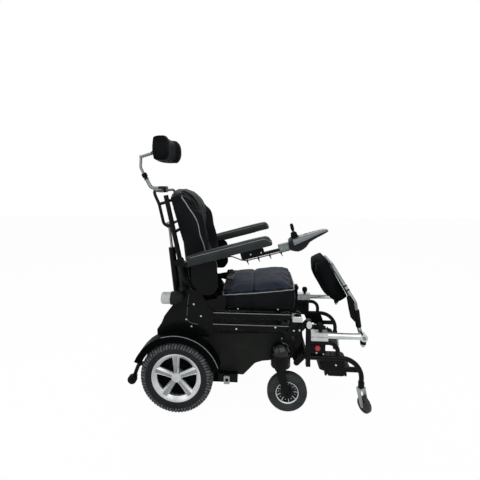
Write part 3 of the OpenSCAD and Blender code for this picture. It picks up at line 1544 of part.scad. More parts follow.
// Foot casters, swung outward
foot_wheel_z = foot_wheel_rise + foot_wheel_d / 2;
foot_hub = [foot_trail, foot_wheel_z];
foot_arm_y = foot_wheel_w / 2 + foot_arm_gap;
foot_crown_z = socket_z0 - side_gap - foot_crown_h;
module on_foot_caster() { translate([foot_tube_end, -foot_y, 0]) rotate([0, 0, -foot_yaw]) children(); }
module foot_fork() {
    color("#9a9c9e") on_foot_caster() {
        translate([0, 0, foot_crown_z + foot_crown_h / 2]) cylinder(d = foot_stem_d,
            h = foot_stem_h + foot_crown_h / 2 + side_gap);
        block(-foot_arm_r, foot_crown_z, 2 * foot_arm_r, foot_crown_h, -foot_arm_y - foot_arm_t,
            foot_arm_y + foot_arm_t);
        for (y = [foot_arm_y, -foot_arm_y - foot_arm_t])
            slab(y, y + foot_arm_t) polygon(lobe([0, foot_crown_z], foot_hub, foot_crown_h, foot_arm_low_r));
        pin(foot_hub, -foot_arm_y - foot_arm_t - head_t / 2, foot_arm_y + foot_arm_t + head_t / 2,
            foot_pin_d);
    }
}
module foot_wheel() {
    r = foot_wheel_d / 2;
    w = foot_wheel_w;
    color("#55585b") on_foot_caster() turned(foot_hub, -w / 2) difference() {
        rotate_extrude() polygon(rounded(spread(foot_wheel_shares, r, w), w * foot_round_share));
        translate([0, 0, -cut]) cylinder(d = foot_pin_d + 2 * run_gap, h = w + 2 * cut);
    }
}

// Knee support
knee_block_top = knee_bar_z + knee_block_h / 2;
module knee_sockets() {
    color("#c4c6c8") pair() difference() {
        block(knee_x0, knee_bar_z - knee_block_h / 2, knee_block_l, knee_block_h,
            foot_y - knee_block_w / 2, foot_y + knee_block_w / 2);
        translate([knee_x0 - cut, -foot_y, knee_bar_z]) rotate([0, 90, 0])
            cylinder(d = knee_bar_d + 2 * run_gap, h = knee_block_l + 2 * cut);
        post(knob_x, foot_y, knee_bar_z, knob_stem_d + 2 * run_gap, knee_block_h);
        block(knee_x0 - cut, knee_bar_z - knee_slit / 2, knee_block_l + 2 * cut, knee_slit, foot_y,
            foot_y + knee_block_w);
    }
}
module knee_bars() {
    half = (knee_block_w - head_t + cut) / 2;
    color("#c9cbcd") pair() difference() {
        union() {
            translate([knee_bar_x0, -foot_y, knee_bar_z]) rotate([0, 90, 0])
                cylinder(d = knee_bar_d, h = knee_joint_x - knee_bar_x0);
            pin(knee_joint, foot_y - half, foot_y + half, knee_joint_d);
            post(knee_joint_x, foot_y, knee_bar_z - knee_joint_d / 2 - clamp_neck_h, clamp_neck_d,
                knee_joint_d / 2 + clamp_neck_h);
            post(knee_joint_x, foot_y, knee_bar_z - knee_joint_d / 2 - clamp_neck_h - clamp_knob_h,
                clamp_knob_d, clamp_knob_h);
        }
        pin(knee_joint, foot_y - knee_block_w, foot_y + knee_block_w, knee_pin_d + 2 * run_gap);
    }
}
knee_normal = [sin(knee_tilt), cos(knee_tilt)];
knee_down = [cos(knee_tilt), -sin(knee_tilt)];
hoop_knee = [hoop_knee_x, hoop_knee_z];
hoop_top = [hoop_top_x, hoop_top_z];
knee_mid = knee_normal * knee_back_n + knee_down * knee_mid_s;
module knee_hoop() {
    inner = foot_y - knee_block_w / 2;
    half = [at(knee_joint, inner), at(knee_joint, hoop_y), at(hoop_knee, hoop_y), at(hoop_top, hoop_top_y)];
    last = len(half) - 1;
    standoff = knee_normal * (hoop_top - knee_mid);
    color("#d2d4d6") {
        bent_tube(concat(half, [for (i = [last : -1 : 0]) [half[i].x, -half[i].y, half[i].z]]), hoop_d,
            hoop_bend);
        pair() {
            pin(knee_joint, inner - head_t, foot_y + knee_block_w / 2 + head_t / 2, knee_pin_d);
            rod(at(hoop_top, knee_lug_y), at(hoop_top - knee_normal * (standoff - seat_gap), knee_lug_y),
                knee_lug_d);
        }
    }
}
knee_corner_share = 0.45;
knee_end_share = 0.22;
knee_side_share = 0.15;
hollow_shares = [0.48, 0.42];
knee_ring_shares = [0.8, 0.4];
module knee_cushion() {
    plan = function(u, v, draw) let(p = squircle(u, v, knee_corner_share))
        [p.x * (knee_w / 2 - draw), p.y * (knee_l / 2 - draw)];
    hollow = function(u, v) (1 - smooth(abs(abs(u) - hollow_shares[0]), 0,
        hollow_shares[1])) * (1 - pow(v, 6));
    depth = function(u, v)
        knee_h * (1 - knee_end_share * pow(v, 4)) * (1 - knee_side_share * pow(u,
            6)) - knee_hollow * hollow(u, v);
    color("#1d1e20") translate(at(knee_mid, 0)) rotate([0, 90 + knee_tilt, 0]) pad(24, 14, plan, depth,
        knee_draw, knee_ring_shares, [0, 0, 0]);
}
module knee_knob() {
    r = knee_knob_d / 2;
    color("#1b1c1e") translate([knob_x, -foot_y, knee_block_top + seat_gap]) {
        translate([0, 0, -(knee_block_h - knee_bar_d) / 2 + side_gap]) cylinder(d = knob_stem_d,
            h = knee_knob_neck);
        difference() {
            rotate_extrude() polygon(concat(
                spread(clamp_neck_shares, r, knee_knob_neck),
                shifted(spread(clamp_grip_shares, r, knee_knob_h), [0, knee_knob_neck])));
            for (i = [0 : knob_lobes - 1]) rotate([0, 0, 360 * i / knob_lobes])
                translate([r * knob_lobe_share, 0, knee_knob_neck - cut]) cylinder(d = r / 2,
                    h = knee_knob_h + 2 * cut);
        }
    }
}

place() chassis_frame();
place() tie_downs();
place() batteries();
place() drive_motors();
place() power_module();
place() side_covers();
place() base_shell();
place() mudguards();
place() antitip_bars();
place() antitip_rollers();
place() rear_tyre();  // rear_tyre_right
place() rear_rim();  // rear_rim_right
place() left() rear_tyre();  // rear_tyre_left
place() left() rear_rim();  // rear_rim_left
place() caster_fork();  // caster_fork_right
place() caster_tyre();  // caster_tyre_right
place() caster_hub();  // caster_hub_right
place() left() caster_fork();  // caster_fork_left
place() left() caster_tyre();  // caster_tyre_left
place() left() caster_hub();  // caster_hub_left
place() seat_frame();
place() seat_cushion();
place() lap_belt();
place() lower_rails();
place() carrier_frame();
place() rear_lamps();
place() lamp_lenses();
place() back_frame();
place() back_cushion();
place() headrest_bar();
place() headrest_mast();
place() headrest_cushion();
place() recline_tubes();
place() recline_rods();
place() stand_tube();
place() stand_rod();
place() arm_frame_right();
place() arm_pad();  // arm_pad_right
place() left() arm_frame();  // arm_frame_left
place() left() arm_pad();  // arm_pad_left
place() controller();
place() controller_cable();
place() joystick_gimbal();
place() joystick();
place() power_button();
place() foot_links_lower();
place() foot_links_upper();
place() foot_frame();
place() knee_sockets();
place() foot_plate();  // foot_plate_right
place() left() foot_plate();  // foot_plate_left
place() foot_fork();  // foot_fork_right
place() left() foot_fork();  // foot_fork_left
place() foot_wheel();  // foot_wheel_right
place() left() foot_wheel();  // foot_wheel_left
place() knee_bars();
place() knee_hoop();
place() knee_cushion();
place() knee_knob();  // knee_knob_right
place() left() knee_knob();  // knee_knob_left
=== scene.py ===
import math

import bmesh
import bpy
import numpy as np
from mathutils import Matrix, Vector, noise
from mathutils.bvhtree import BVHTree


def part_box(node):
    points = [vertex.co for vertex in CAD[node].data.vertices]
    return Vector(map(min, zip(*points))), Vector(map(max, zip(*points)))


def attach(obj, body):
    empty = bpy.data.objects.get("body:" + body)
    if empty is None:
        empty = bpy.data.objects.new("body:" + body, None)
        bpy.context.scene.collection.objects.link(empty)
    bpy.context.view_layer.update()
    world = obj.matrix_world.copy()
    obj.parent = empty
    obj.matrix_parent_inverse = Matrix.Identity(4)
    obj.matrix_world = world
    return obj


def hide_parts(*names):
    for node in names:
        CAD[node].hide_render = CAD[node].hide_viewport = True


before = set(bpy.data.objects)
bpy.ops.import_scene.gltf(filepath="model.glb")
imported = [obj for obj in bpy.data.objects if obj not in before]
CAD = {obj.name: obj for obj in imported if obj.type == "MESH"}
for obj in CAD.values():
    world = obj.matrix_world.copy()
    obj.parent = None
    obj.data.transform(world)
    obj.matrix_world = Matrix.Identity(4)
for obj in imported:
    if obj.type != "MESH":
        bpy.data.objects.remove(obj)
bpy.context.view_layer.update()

# Sizes are in millimetres, along X from the drive axle, as in the part's own drawing.
MM = 0.001
RIGHT, LEFT = -1, 1
SIDES = {"right": RIGHT, "left": LEFT}
tyre_lo, tyre_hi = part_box("rear_tyre_right")
AXLE_X = (tyre_lo.x + tyre_hi.x) / 2


def sin(a):
    return math.sin(math.radians(a))


def cos(a):
    return math.cos(math.radians(a))


def smooth(x, lo, hi):
    t = np.clip((np.asarray(x, float) - lo) / (hi - lo), 0, 1)
    return t * t * (3 - 2 * t)


class Spot:
    """A local frame: along, across (+Y) and up, leaning back by an angle about the chair's Y."""

    def __init__(self, x=0.0, z=0.0, lean=0.0):
        c, s = cos(lean), sin(lean)
        self.turn = np.array([[c, 0, -s], [0, 1, 0], [s, 0, c]])
        self.origin = np.array([AXLE_X / MM + x, 0, z])

    def out(self, pts):
        return (np.asarray(pts, float) @ self.turn.T + self.origin) * MM

    def back(self, pts):
        return (np.asarray(pts, float) / MM - self.origin) @ self.turn


knee_tilt, knee_back, knee_along = 60.3, 1052, -150
knee_mid = np.array([sin(knee_tilt), cos(knee_tilt)]) * knee_back
knee_mid += np.array([cos(knee_tilt), -sin(knee_tilt)]) * knee_along
CHAIR = Spot()
BACK = Spot(82.7, 639.9, 16.4)
ARM = Spot(4, 763, 15)
HEAD = Spot(-157, 1358)
KNEE = Spot(knee_mid[0], knee_mid[1], -(90 + knee_tilt))


# Camera, floor and light
eye_place, eye_yaw, eye_pitch = (418.1, -1725.8, 1163.2), 3.8, 4.0
eye_sensor, eye_lens, eye_shift = 36, 22.5, -35 / 480
world_fill, floor_half, floor_glow = 0.42, 9.0, 0.975


def camera():
    data = bpy.data.cameras.new("camera")
    data.sensor_fit = "HORIZONTAL"
    data.sensor_width = eye_sensor
    data.lens = eye_lens
    data.shift_y = eye_shift
    obj = bpy.data.objects.new("camera", data)
    level = cos(eye_pitch)
    forward = Vector((-sin(eye_yaw) * level, cos(eye_yaw) * level, -sin(eye_pitch)))
    obj.rotation_euler = forward.to_track_quat("-Z", "Y").to_euler()
    obj.location = CHAIR.out(eye_place)
    bpy.context.scene.collection.objects.link(obj)
    bpy.context.scene.camera = obj


def seen_directly(tree):
    """1 for rays from the camera, mirrors and glass, and 0 for the light that falls on the object."""
    path = tree.nodes.new("ShaderNodeLightPath")
    total = path.outputs["Is Camera Ray"]
    for name in ("Is Glossy Ray", "Is Transmission Ray"):
        join = tree.nodes.new("ShaderNodeMath")
        join.operation = "MAXIMUM"
        tree.links.new(total, join.inputs[0])
        tree.links.new(path.outputs[name], join.inputs[1])
        total = join.outputs[0]
    return total


def blend(tree, factor, first, second, output):
    """Mixes two shaders by a factor into the tree's output."""
    mix = tree.nodes.new("ShaderNodeMixShader")
    for i, socket in enumerate((factor, first.outputs[0], second.outputs[0])):
        tree.links.new(socket, mix.inputs[i])
    tree.links.new(mix.outputs[0], tree.nodes[output].inputs[0])


def stage():
    world = bpy.data.worlds.new("studio")
    bpy.context.scene.world = world
    world.use_nodes = True
    tree = world.node_tree
    fill = tree.nodes["Background"]
    fill.inputs["Strength"].default_value = world_fill
    white = tree.nodes.new("ShaderNodeBackground")
    for light in (fill, white):
        light.inputs["Color"].default_value = (1, 1, 1, 1)
    blend(tree, seen_directly(tree), fill, white, "World Output")

    h = floor_half
    mesh = bpy.data.meshes.new("floor")
    mesh.from_pydata([(-h, -h, 0), (h, -h, 0), (h, h, 0), (-h, h, 0)], [], [(0, 1, 2, 3)])
    floor = bpy.data.objects.new("floor", mesh)
    bpy.context.scene.collection.objects.link(floor)
    pale = bpy.data.materials.new("pale_floor")
    pale.use_nodes = True
    tree = pale.node_tree
    shade = tree.nodes["Principled BSDF"]
    shade.inputs["Base Color"].default_value = (0.9, 0.9, 0.9, 1)
    shade.inputs["Roughness"].default_value = 0.9
    shade.inputs["Specular IOR Level"].default_value = 0.0
    glow = tree.nodes.new("ShaderNodeEmission")
    share = tree.nodes.new("ShaderNodeMath")
    share.operation = "MULTIPLY"
    share.inputs[1].default_value = floor_glow
    tree.links.new(seen_directly(tree), share.inputs[0])
    blend(tree, share.outputs[0], shade, glow, "Material Output")
    mesh.materials.append(pale)


def softbox(name, place, aim, size, power):
    data = bpy.data.lights.new(name, "AREA")
    data.shape = "RECTANGLE"
    data.size, data.size_y = size
    data.energy = power
    obj = bpy.data.objects.new(name, data)
    obj.location = place
    obj.rotation_euler = (Vector(aim) - Vector(place)).to_track_quat("-Z", "Y").to_euler()
    bpy.context.scene.collection.objects.link(obj)


# Materials
def rgb(code):
    parts = [int(code[i:i + 2], 16) / 255 for i in (1, 3, 5)]
    return tuple(p / 12.92 if p <= 0.04045 else ((p + 0.055) / 1.055) ** 2.4 for p in parts) + (1.0,)


class Surface:
    """Builds one procedural material on a Principled shader, in the object's own coordinates."""

    def __init__(self, name):
        self.material = bpy.data.materials.new(name)
        self.material.use_nodes = True
        self.tree = self.material.node_tree
        self.shader = self.tree.nodes["Principled BSDF"]
        self.coords = self.tree.nodes.new("ShaderNodeTexCoord").outputs["Object"]

    def node(self, kind, **values):
        n = self.tree.nodes.new(kind)
        for key, value in values.items():
            n.inputs[key.replace("_", " ")].default_value = value
        return n

    def link(self, a, b):
        self.tree.links.new(a, b)

    def stretched(self, scale):
        n = self.node("ShaderNodeMapping")
        n.inputs["Scale"].default_value = scale
        self.link(self.coords, n.inputs["Vector"])
        return n.outputs[0]

    def noise(self, scale, detail=4.0, vector=None):
        n = self.node("ShaderNodeTexNoise", Scale=scale, Detail=detail)
        self.link(vector or self.coords, n.inputs["Vector"])
        return n.outputs["Fac"]

    def ranged(self, value, lo, hi, out_lo=0.0, out_hi=1.0):
        n = self.tree.nodes.new("ShaderNodeMapRange")
        for i, v in zip((1, 2, 3, 4), (lo, hi, out_lo, out_hi)):
            n.inputs[i].default_value = v
        self.link(value, n.inputs[0])
        return n.outputs[0]

    def math(self, op, a, b):
        n = self.tree.nodes.new("ShaderNodeMath")
        n.operation = op
        for i, v in enumerate((a, b)):
            if isinstance(v, (int, float)):
                n.inputs[i].default_value = v
            else:
                self.link(v, n.inputs[i])
        return n.outputs[0]

    def mixed(self, factor, a, b):
        n = self.tree.nodes.new("ShaderNodeMix")
        n.data_type = "RGBA"
        self.link(factor, n.inputs[0])
        for i, v in ((6, a), (7, b)):
            if isinstance(v, tuple):
                n.inputs[i].default_value = v
            else:
                self.link(v, n.inputs[i])
        return n.outputs[2]

    def relief(self, kind, scale):
        if kind == "grain":
            cells = self.node("ShaderNodeTexVoronoi", Scale=scale)
            cells.feature = "DISTANCE_TO_EDGE"
            self.link(self.coords, cells.inputs["Vector"])
            plates = self.ranged(cells.outputs["Distance"], 0.0, 0.16)
            return self.math("ADD", plates, self.noise(scale * 2.2, 2.0))
        if kind == "weave":
            waves = []
            for direction in ("X", "Y", "Z"):
                w = self.node("ShaderNodeTexWave", Scale=scale, Distortion=0.4)
                w.bands_direction = direction
                self.link(self.coords, w.inputs["Vector"])
                waves.append(w.outputs["Fac"])
            return self.math("MAXIMUM", self.math("MULTIPLY", waves[0], waves[2]), waves[1])
        if kind == "brushed":
            return self.noise(scale, 3.0, self.stretched((0.04, 1.0, 1.0)))
        return self.noise(scale, 3.0)


def surface(name, colour, rough, metal=0.0, vary=0.15, patch=11.0, rough_vary=0.08, bump=None, specular=0.5,
            bevel=0.0, wear_and_highlight=None, dust_and_highlight=None, clear=0.0):
    """One finish: patches of colour and roughness, edge wear with painted highlight, lug dust with painted
    highlight and a fine relief.
    """
    s = Surface(name)
    base = rgb(colour)
    low, high = (tuple(min(1, c * k) for c in base[:3]) + (1.0,) for k in (1 - vary, 1 + vary))
    hue = s.mixed(s.ranged(s.noise(patch, 5.0), 0.35, 0.65), low, high)
    rounding = None
    if bevel:
        rounding = s.node("ShaderNodeBevel", Radius=bevel * MM)
        rounding.samples = 4
    # Edges found from the bevel normal are mixed toward a lighter colour: partly wear, partly a painted
    # highlight.
    if wear_and_highlight:
        flat = s.tree.nodes.new("ShaderNodeNewGeometry")
        dot = s.tree.nodes.new("ShaderNodeVectorMath")
        dot.operation = "DOT_PRODUCT"
        s.link(flat.outputs["Normal"], dot.inputs[0])
        s.link(rounding.outputs[0], dot.inputs[1])
        edge = s.math("MULTIPLY", s.ranged(dot.outputs["Value"], 0.985, 0.8),
                      s.ranged(s.noise(60.0), 0.42, 0.62))
        hue = s.mixed(s.math("MULTIPLY", edge, wear_and_highlight[1]), hue, rgb(wear_and_highlight[0]))
    # Raised lug tops are mixed toward a paler grey: partly dust, partly a painted highlight.
    if dust_and_highlight:
        lug = s.tree.nodes.new("ShaderNodeAttribute")
        lug.attribute_name = "raised"
        lug_dust_and_highlight = s.math("MULTIPLY", lug.outputs["Fac"], s.ranged(s.noise(90.0), 0.3, 0.6))
        hue = s.mixed(lug_dust_and_highlight, hue, rgb(dust_and_highlight))
    s.link(hue, s.shader.inputs["Base Color"])
    s.link(s.ranged(s.noise(patch * 4, 6.0), 0.3, 0.7, max(0.02, rough - rough_vary), rough + rough_vary),
           s.shader.inputs["Roughness"])
    s.shader.inputs["Metallic"].default_value = metal
    s.shader.inputs["Specular IOR Level"].default_value = specular
    s.shader.inputs["Transmission Weight"].default_value = clear
    normal = rounding.outputs[0] if rounding else None
    if bump:
        kind, scale, strength, depth = bump
        raised = s.node("ShaderNodeBump", Strength=strength, Distance=depth * MM)
        s.link(s.relief(kind, scale), raised.inputs["Height"])
        if normal:
            s.link(normal, raised.inputs["Normal"])
        normal = raised.outputs[0]
    if normal:
        s.link(normal, s.shader.inputs["Normal"])
    return s.material


# The lighter edge colour on black paint is partly wear and partly a painted highlight.
PAINT = surface("paint_black", "#0a0b0c", 0.26, bump=("orange", 260, 0.05, 0.4), bevel=1.6,
                wear_and_highlight=("#4e5254", 0.4), specular=0.08)
# The pale edge colour on the rails is a painted highlight.
RAIL = surface("paint_rail", "#090a0b", 0.2, bump=("orange", 260, 0.05, 0.4), bevel=3.0,
               wear_and_highlight=("#8f9597", 0.55), specular=0.08)
PLASTIC = surface("plastic_black", "#1f211f", 0.5, bump=("orange", 1500, 0.3, 0.2), bevel=1.5,
                  specular=0.05, wear_and_highlight=("#3a3b3d", 0.3))
# The pale edge colour on the mudguards is a painted highlight.
GUARD = surface("guard_gloss", "#070808", 0.3, bump=("orange", 70, 0.04, 0.5), bevel=3.0,
                rough_vary=0.05, specular=0.005, wear_and_highlight=("#777c7e", 0.4))
ALLOY = surface("alloy_silver", "#bcbfc0", 0.3, metal=0.7, bump=("orange", 1300, 0.15, 0.1), bevel=0.8,
                wear_and_highlight=("#dfe1e1", 0.5))
ALLOY_MATT = surface("alloy_matt", "#8b8e8f", 0.48, metal=0.55, bump=("brushed", 1300, 0.3, 0.15), bevel=0.6)
STEEL = surface("steel_zinc", "#8d9091", 0.34, metal=0.8, bump=("brushed", 900, 0.25, 0.1), bevel=0.8,
                vary=0.25)
BAR = surface("bar_grey", "#6f7476", 0.3, metal=0.7, bump=("brushed", 700, 0.15, 0.1), bevel=0.8, vary=0.2)
CHROME = surface("chrome", "#b4b8b9", 0.16, metal=1.0, bump=("brushed", 500, 0.06, 0.05), bevel=0.8,
                 rough_vary=0.06)
# The pale lug-top colour is partly dust and partly a painted highlight.
RUBBER = surface("tyre_rubber", "#1e2021", 0.75, bump=("orange", 1100, 0.4, 0.3), dust_and_highlight="#63676a",
                 specular=0.12, vary=0.2)
CASTER_RUBBER = surface("caster_rubber", "#2b2e2f", 0.65, bump=("orange", 900, 0.35, 0.3), specular=0.15,
                        vary=0.3, patch=26)
MOTOR = surface("motor_grey", "#3c3f42", 0.45, metal=0.5, bump=("orange", 700, 0.3, 0.3), bevel=1.0)
BATTERY = surface("battery_grey", "#2e3135", 0.55, bump=("orange", 900, 0.3, 0.2), bevel=1.0)
NAVY = surface("vinyl_navy", "#262c37", 0.5, bump=("grain", 620, 0.28, 0.25), vary=0.14, patch=7,
               specular=0.04)
VINYL = surface("vinyl_black", "#141617", 0.38, bump=("grain", 560, 0.3, 0.3), vary=0.25, patch=9,
                specular=0.016)
VINYL_SOFT = surface("vinyl_soft", "#101213", 0.5, bump=("grain", 560, 0.3, 0.3), vary=0.25, patch=9,
                     specular=0.008)
# Light grey for real piping and thread, and for the painted highlight beads on the back's bolster crests,
# rail edges, mudguards and arm pads.
PIPING_AND_HIGHLIGHT = surface("piping_and_highlight_grey", "#7a7f81", 0.38, bump=("grain", 1500, 0.25, 0.15), vary=0.12, patch=20,
                 specular=0.2)
ARM_FOAM = surface("arm_foam", "#282c2d", 0.46, bump=("grain", 900, 0.3, 0.2), vary=0.16, patch=13,
                   specular=0.1)
WEBBING = surface("webbing_black", "#0c0d0e", 0.7, bump=("weave", 130, 0.5, 0.5), vary=0.2, patch=40,
                  specular=0.1)
CONTROL_TOP = surface("control_grey", "#697072", 0.36, metal=0.15, bump=("orange", 1500, 0.06, 0.05),
                      bevel=0.8, vary=0.06, specular=0.25)
CONTROL_LOW = surface("control_black", "#0f1112", 0.35, bump=("orange", 1400, 0.3, 0.2), bevel=0.8,
                      specular=0.15)
SOFT_RUBBER = surface("soft_rubber", "#0b0c0d", 0.6, bump=("orange", 1300, 0.35, 0.2), specular=0.07)
GLOSS = surface("gloss_black", "#07090a", 0.09, bump=("orange", 120, 0.03, 0.3), rough_vary=0.03,
                specular=0.3)
# Near black for the disc behind the drive wheel spokes: painted shade in the wheel's well.
PAINTED_SHADE = surface("rim_well_painted_shade", "#060708", 0.7, bump=("orange", 600, 0.3, 0.3), specular=0.06)
GREEN = surface("button_green", "#1f4a2d", 0.4, bump=("orange", 1500, 0.2, 0.1), bevel=0.6)
RED = surface("knob_red", "#9c1c2c", 0.35, bump=("orange", 1200, 0.2, 0.15), bevel=0.8, vary=0.2)
LENS = surface("lens_clear", "#c6cbcc", 0.14, clear=0.3, bump=("orange", 300, 0.1, 0.3), rough_vary=0.05)
TREADPLATE = surface("plate_black", "#121314", 0.5, bump=("orange", 1000, 0.4, 0.3), bevel=1.2,
                     wear_and_highlight=("#55575a", 0.4), specular=0.15)
WHEEL_GREY = surface("wheel_grey", "#303335", 0.5, bump=("orange", 900, 0.3, 0.2), bevel=0.8, specular=0.2)
CABLE = surface("cable_grey", "#3c3f41", 0.45, bump=("orange", 1200, 0.25, 0.15), specular=0.2)

FINISH = {
    PAINT: "chassis_frame antitip_bars caster_fork carrier_frame back_frame recline_tubes stand_tube"
           " arm_frame foot_links foot_frame",
    RAIL: "seat_frame lower_rails",
    PLASTIC: "side_covers base_shell power_module rear_lamps",
    GUARD: "mudguards",
    STEEL: "tie_downs recline_rods stand_rod foot_fork",
    BAR: "headrest_bar headrest_mast knee_hoop",
    CHROME: "knee_bars",
    ALLOY: "knee_sockets",
    MOTOR: "drive_motors joystick_gimbal",
    BATTERY: "batteries",
    SOFT_RUBBER: "antitip_rollers knee_knob",
    GREEN: "power_button",
    TREADPLATE: "foot_plate",
    WHEEL_GREY: "foot_wheel",
}


def dress():
    for finish, names in FINISH.items():
        for stem in names.split():
            for name, obj in CAD.items():
                if name == stem or name.startswith(stem + "_"):
                    for i in range(len(obj.material_slots)):
                        obj.material_slots[i].material = finish


# Mesh building
WELD, SLIVER = 0.00002, 0.00001


def lattice(rows, wrap_rows=False, wrap_cols=False, caps=False):
    n, m = len(rows), len(rows[0])
    verts = [tuple(p) for row in rows for p in row]
    faces = []
    for i in range(n if wrap_rows else n - 1):
        for j in range(m if wrap_cols else m - 1):
            a, b = i * m + j, i * m + (j + 1) % m
            c, d = ((i + 1) % n) * m + (j + 1) % m, ((i + 1) % n) * m + j
            faces.append((a, b, c, d))
    if caps:
        faces.append(tuple(range(m - 1, -1, -1)))
        faces.append(tuple((n - 1) * m + j for j in range(m)))
    return verts, faces


def across(axis):
    axis = np.asarray(axis, float)
    axis = axis / np.linalg.norm(axis)
    helper = np.array([0, 0, 1.0]) if abs(axis[2]) < 0.9 else np.array([1.0, 0, 0])
    a = np.cross(helper, axis)
    a /= np.linalg.norm(a)
    return axis, a, np.cross(axis, a)


def prism(rows):
    """A closed bar through rows of points."""
    return lattice(rows, wrap_cols=True, caps=True)


def chamfered(a, b):
    """The eight corners of a square with cut corners, in shares of its half sides."""
    return (-1, -a), (-b, -1), (b, -1), (1, -a), (1, a), (b, 1), (-b, 1), (-1, a)


def spin(profile, origin, axis, segs=48, closed=False):
    """A turned form: profile points are [radius, distance along the axis]."""
    axis, a, b = across(axis)
    rows = []
    for k in range(segs):
        t = 2 * math.pi * k / segs
        way = a * math.cos(t) + b * math.sin(t)
        rows.append([np.asarray(origin) + axis * h + way * r for r, h in profile])
    return lattice(rows, wrap_rows=True, wrap_cols=closed)


def tube(path, radius, sides=10, closed=False):
    """A round bar along a path, of one radius or of one for each point."""
    pts = [np.asarray(p, float) for p in path]
    n = len(pts)
    turns = [2 * math.pi * k / sides for k in range(sides)]
    rows, side = [], None
    for i in range(n):
        ahead = pts[(i + 1) % n] if closed else pts[min(i + 1, n - 1)]
        behind = pts[i - 1] if closed or i else pts[0]
        t = (ahead - behind) / np.linalg.norm(ahead - behind)
        if side is None:
            side = across(t)[1]
        side = side - t * (side @ t)
        side /= np.linalg.norm(side)
        up = np.cross(t, side)
        r = radius[i] if hasattr(radius, "__len__") else radius
        rows.append([pts[i] + r * (side * math.cos(a) + up * math.sin(a)) for a in turns])
    return lattice(rows, wrap_rows=closed, wrap_cols=True, caps=not closed)


def curve(points, per):
    """A smooth path through the points."""
    p = [np.asarray(q, float) for q in points]
    last = len(p) - 1
    out = []
    for i in range(last):
        a, b, c, d = (p[min(max(i + k, 0), last)] for k in (-1, 0, 1, 2))
        square, cube = 2 * a - 5 * b + 4 * c - d, 3 * b - a - 3 * c + d
        for t in (j / per for j in range(per)):
            out.append(0.5 * (2 * b + (c - a) * t + square * t * t + cube * t ** 3))
    return out + [p[-1]]


class Build:
    """Gathers shapes, each with one of the piece's materials."""

    def __init__(self):
        self.verts, self.faces, self.kinds = [], [], []

    def add(self, shape, kind=0):
        verts, faces = shape
        n = len(self.verts)
        self.verts += [tuple(v) for v in verts]
        self.faces += [tuple(i + n for i in f) for f in faces]
        self.kinds += [kind] * len(faces)
        return self


def piece(build, name, body, mats, spot=CHAIR, sharp=38, raised=None):
    """Makes a piece of the build: it rides on a body, and edges over the sharp angle stay sharp."""
    mesh = bpy.data.meshes.new(name)
    mesh.from_pydata([tuple(v) for v in spot.out(build.verts)], [], build.faces)
    mesh.polygons.foreach_set("material_index", build.kinds)
    if raised is not None:
        layer = mesh.attributes.new("raised", "FLOAT", "POINT")
        layer.data.foreach_set("value", raised)
    work = bmesh.new()
    work.from_mesh(mesh)
    bmesh.ops.remove_doubles(work, verts=work.verts, dist=WELD)
    bmesh.ops.dissolve_degenerate(work, edges=work.edges, dist=SLIVER)
    bmesh.ops.recalc_face_normals(work, faces=work.faces)
    work.to_mesh(mesh)
    work.free()
    for m in mats:
        mesh.materials.append(m)
    mesh.polygons.foreach_set("use_smooth", [True] * len(mesh.polygons))
    mesh.set_sharp_from_angle(angle=math.radians(sharp))
    obj = bpy.data.objects.new(name, mesh)
    bpy.context.scene.collection.objects.link(obj)
    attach(obj, body)
    return obj


# Wheels
axle_z, wheel_y = 186, 277
drive_hub = (0, wheel_y, axle_z)
tread_lugs, lug_steps, lug_deep, tyre_core_r = 68, 8, 3.0, 150
lug_from, lug_span, centre_band = 158, 28, 8


def on_wheel(hub, side, r, out, turn):
    """A point at a radius and a distance out from a wheel's middle."""
    return hub[0] + r * math.cos(turn), side * (hub[1] + out), hub[2] + r * math.sin(turn)


def spoke(hub, side, turn, stations, section):
    """A bar along a radius: stations are [radius, half width, distance out, depth]."""
    c, s = math.cos(turn), math.sin(turn)
    return prism([[(hub[0] + r * c - w * a * s, side * (hub[1] + out + deep * h), hub[2] + r * s + w * a * c)
                   for a, h in section] for r, w, out, deep in stations])


def both_ways(half):
    """A section of a tyre from its half."""
    return half + [(r, -w) for r, w in reversed(half)]


def drive_tyre(name, side):
    """A tyre whose shoulders are cut into slanted lugs."""
    line = both_ways([
        (128, 26), (131, 28.6), (136, 30.6), (142, 32), (148, 32.5), (154, 32.4), (156, 31.6), (158, 32.4),
        (164, 32.2), (170, 31.4), (175, 29.8), (179, 27.4), (182.5, 23.6), (184.6, 19), (185.5, 14),
        (185.9, 9), (185.2, 5.5), (183.4, 4.6), (183.2, 1.5)])
    n = tread_lugs * lug_steps
    rows, raised = [], []
    for k in range(n):
        t = 2 * math.pi * k / n
        row = []
        for i, (r, w) in enumerate(line):
            ahead, behind = line[(i + 1) % len(line)], line[i - 1]
            tr, tw = ahead[0] - behind[0], ahead[1] - behind[1]
            size = math.hypot(tr, tw)
            nr, nw = -tw / size, tr / size
            if nr * (r - tyre_core_r) + nw * w < 0:
                nr, nw = -nr, -nw
            shoulder = 1.0 if r > lug_from - 1 and abs(w) > centre_band else 0.0
            slant = 0.35 * (r - lug_from) / lug_span + (0.5 if w < 0 else 0.0)
            phase = (k / lug_steps + slant) % 1.0
            gap = 1 - float(smooth(abs(phase - 0.5), 0.14, 0.24))
            sink = lug_deep * gap * shoulder
            r1, w1 = r - nr * sink, w - nw * sink
            row.append((r1 * math.cos(t), side * (wheel_y + w1), axle_z + r1 * math.sin(t)))
            raised.append(shoulder * (1 - gap))
        rows.append(row)
    b = Build().add(lattice(rows, wrap_rows=True, wrap_cols=True))
    obj = piece(b, "drive_tyre_" + name, "drive_wheel_" + name, [RUBBER], raised=raised,
                sharp=50)
    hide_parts("rear_tyre_" + name)


spoke_turns = [math.radians(92 + 72 * i) for i in range(5)]
nut_r = 37


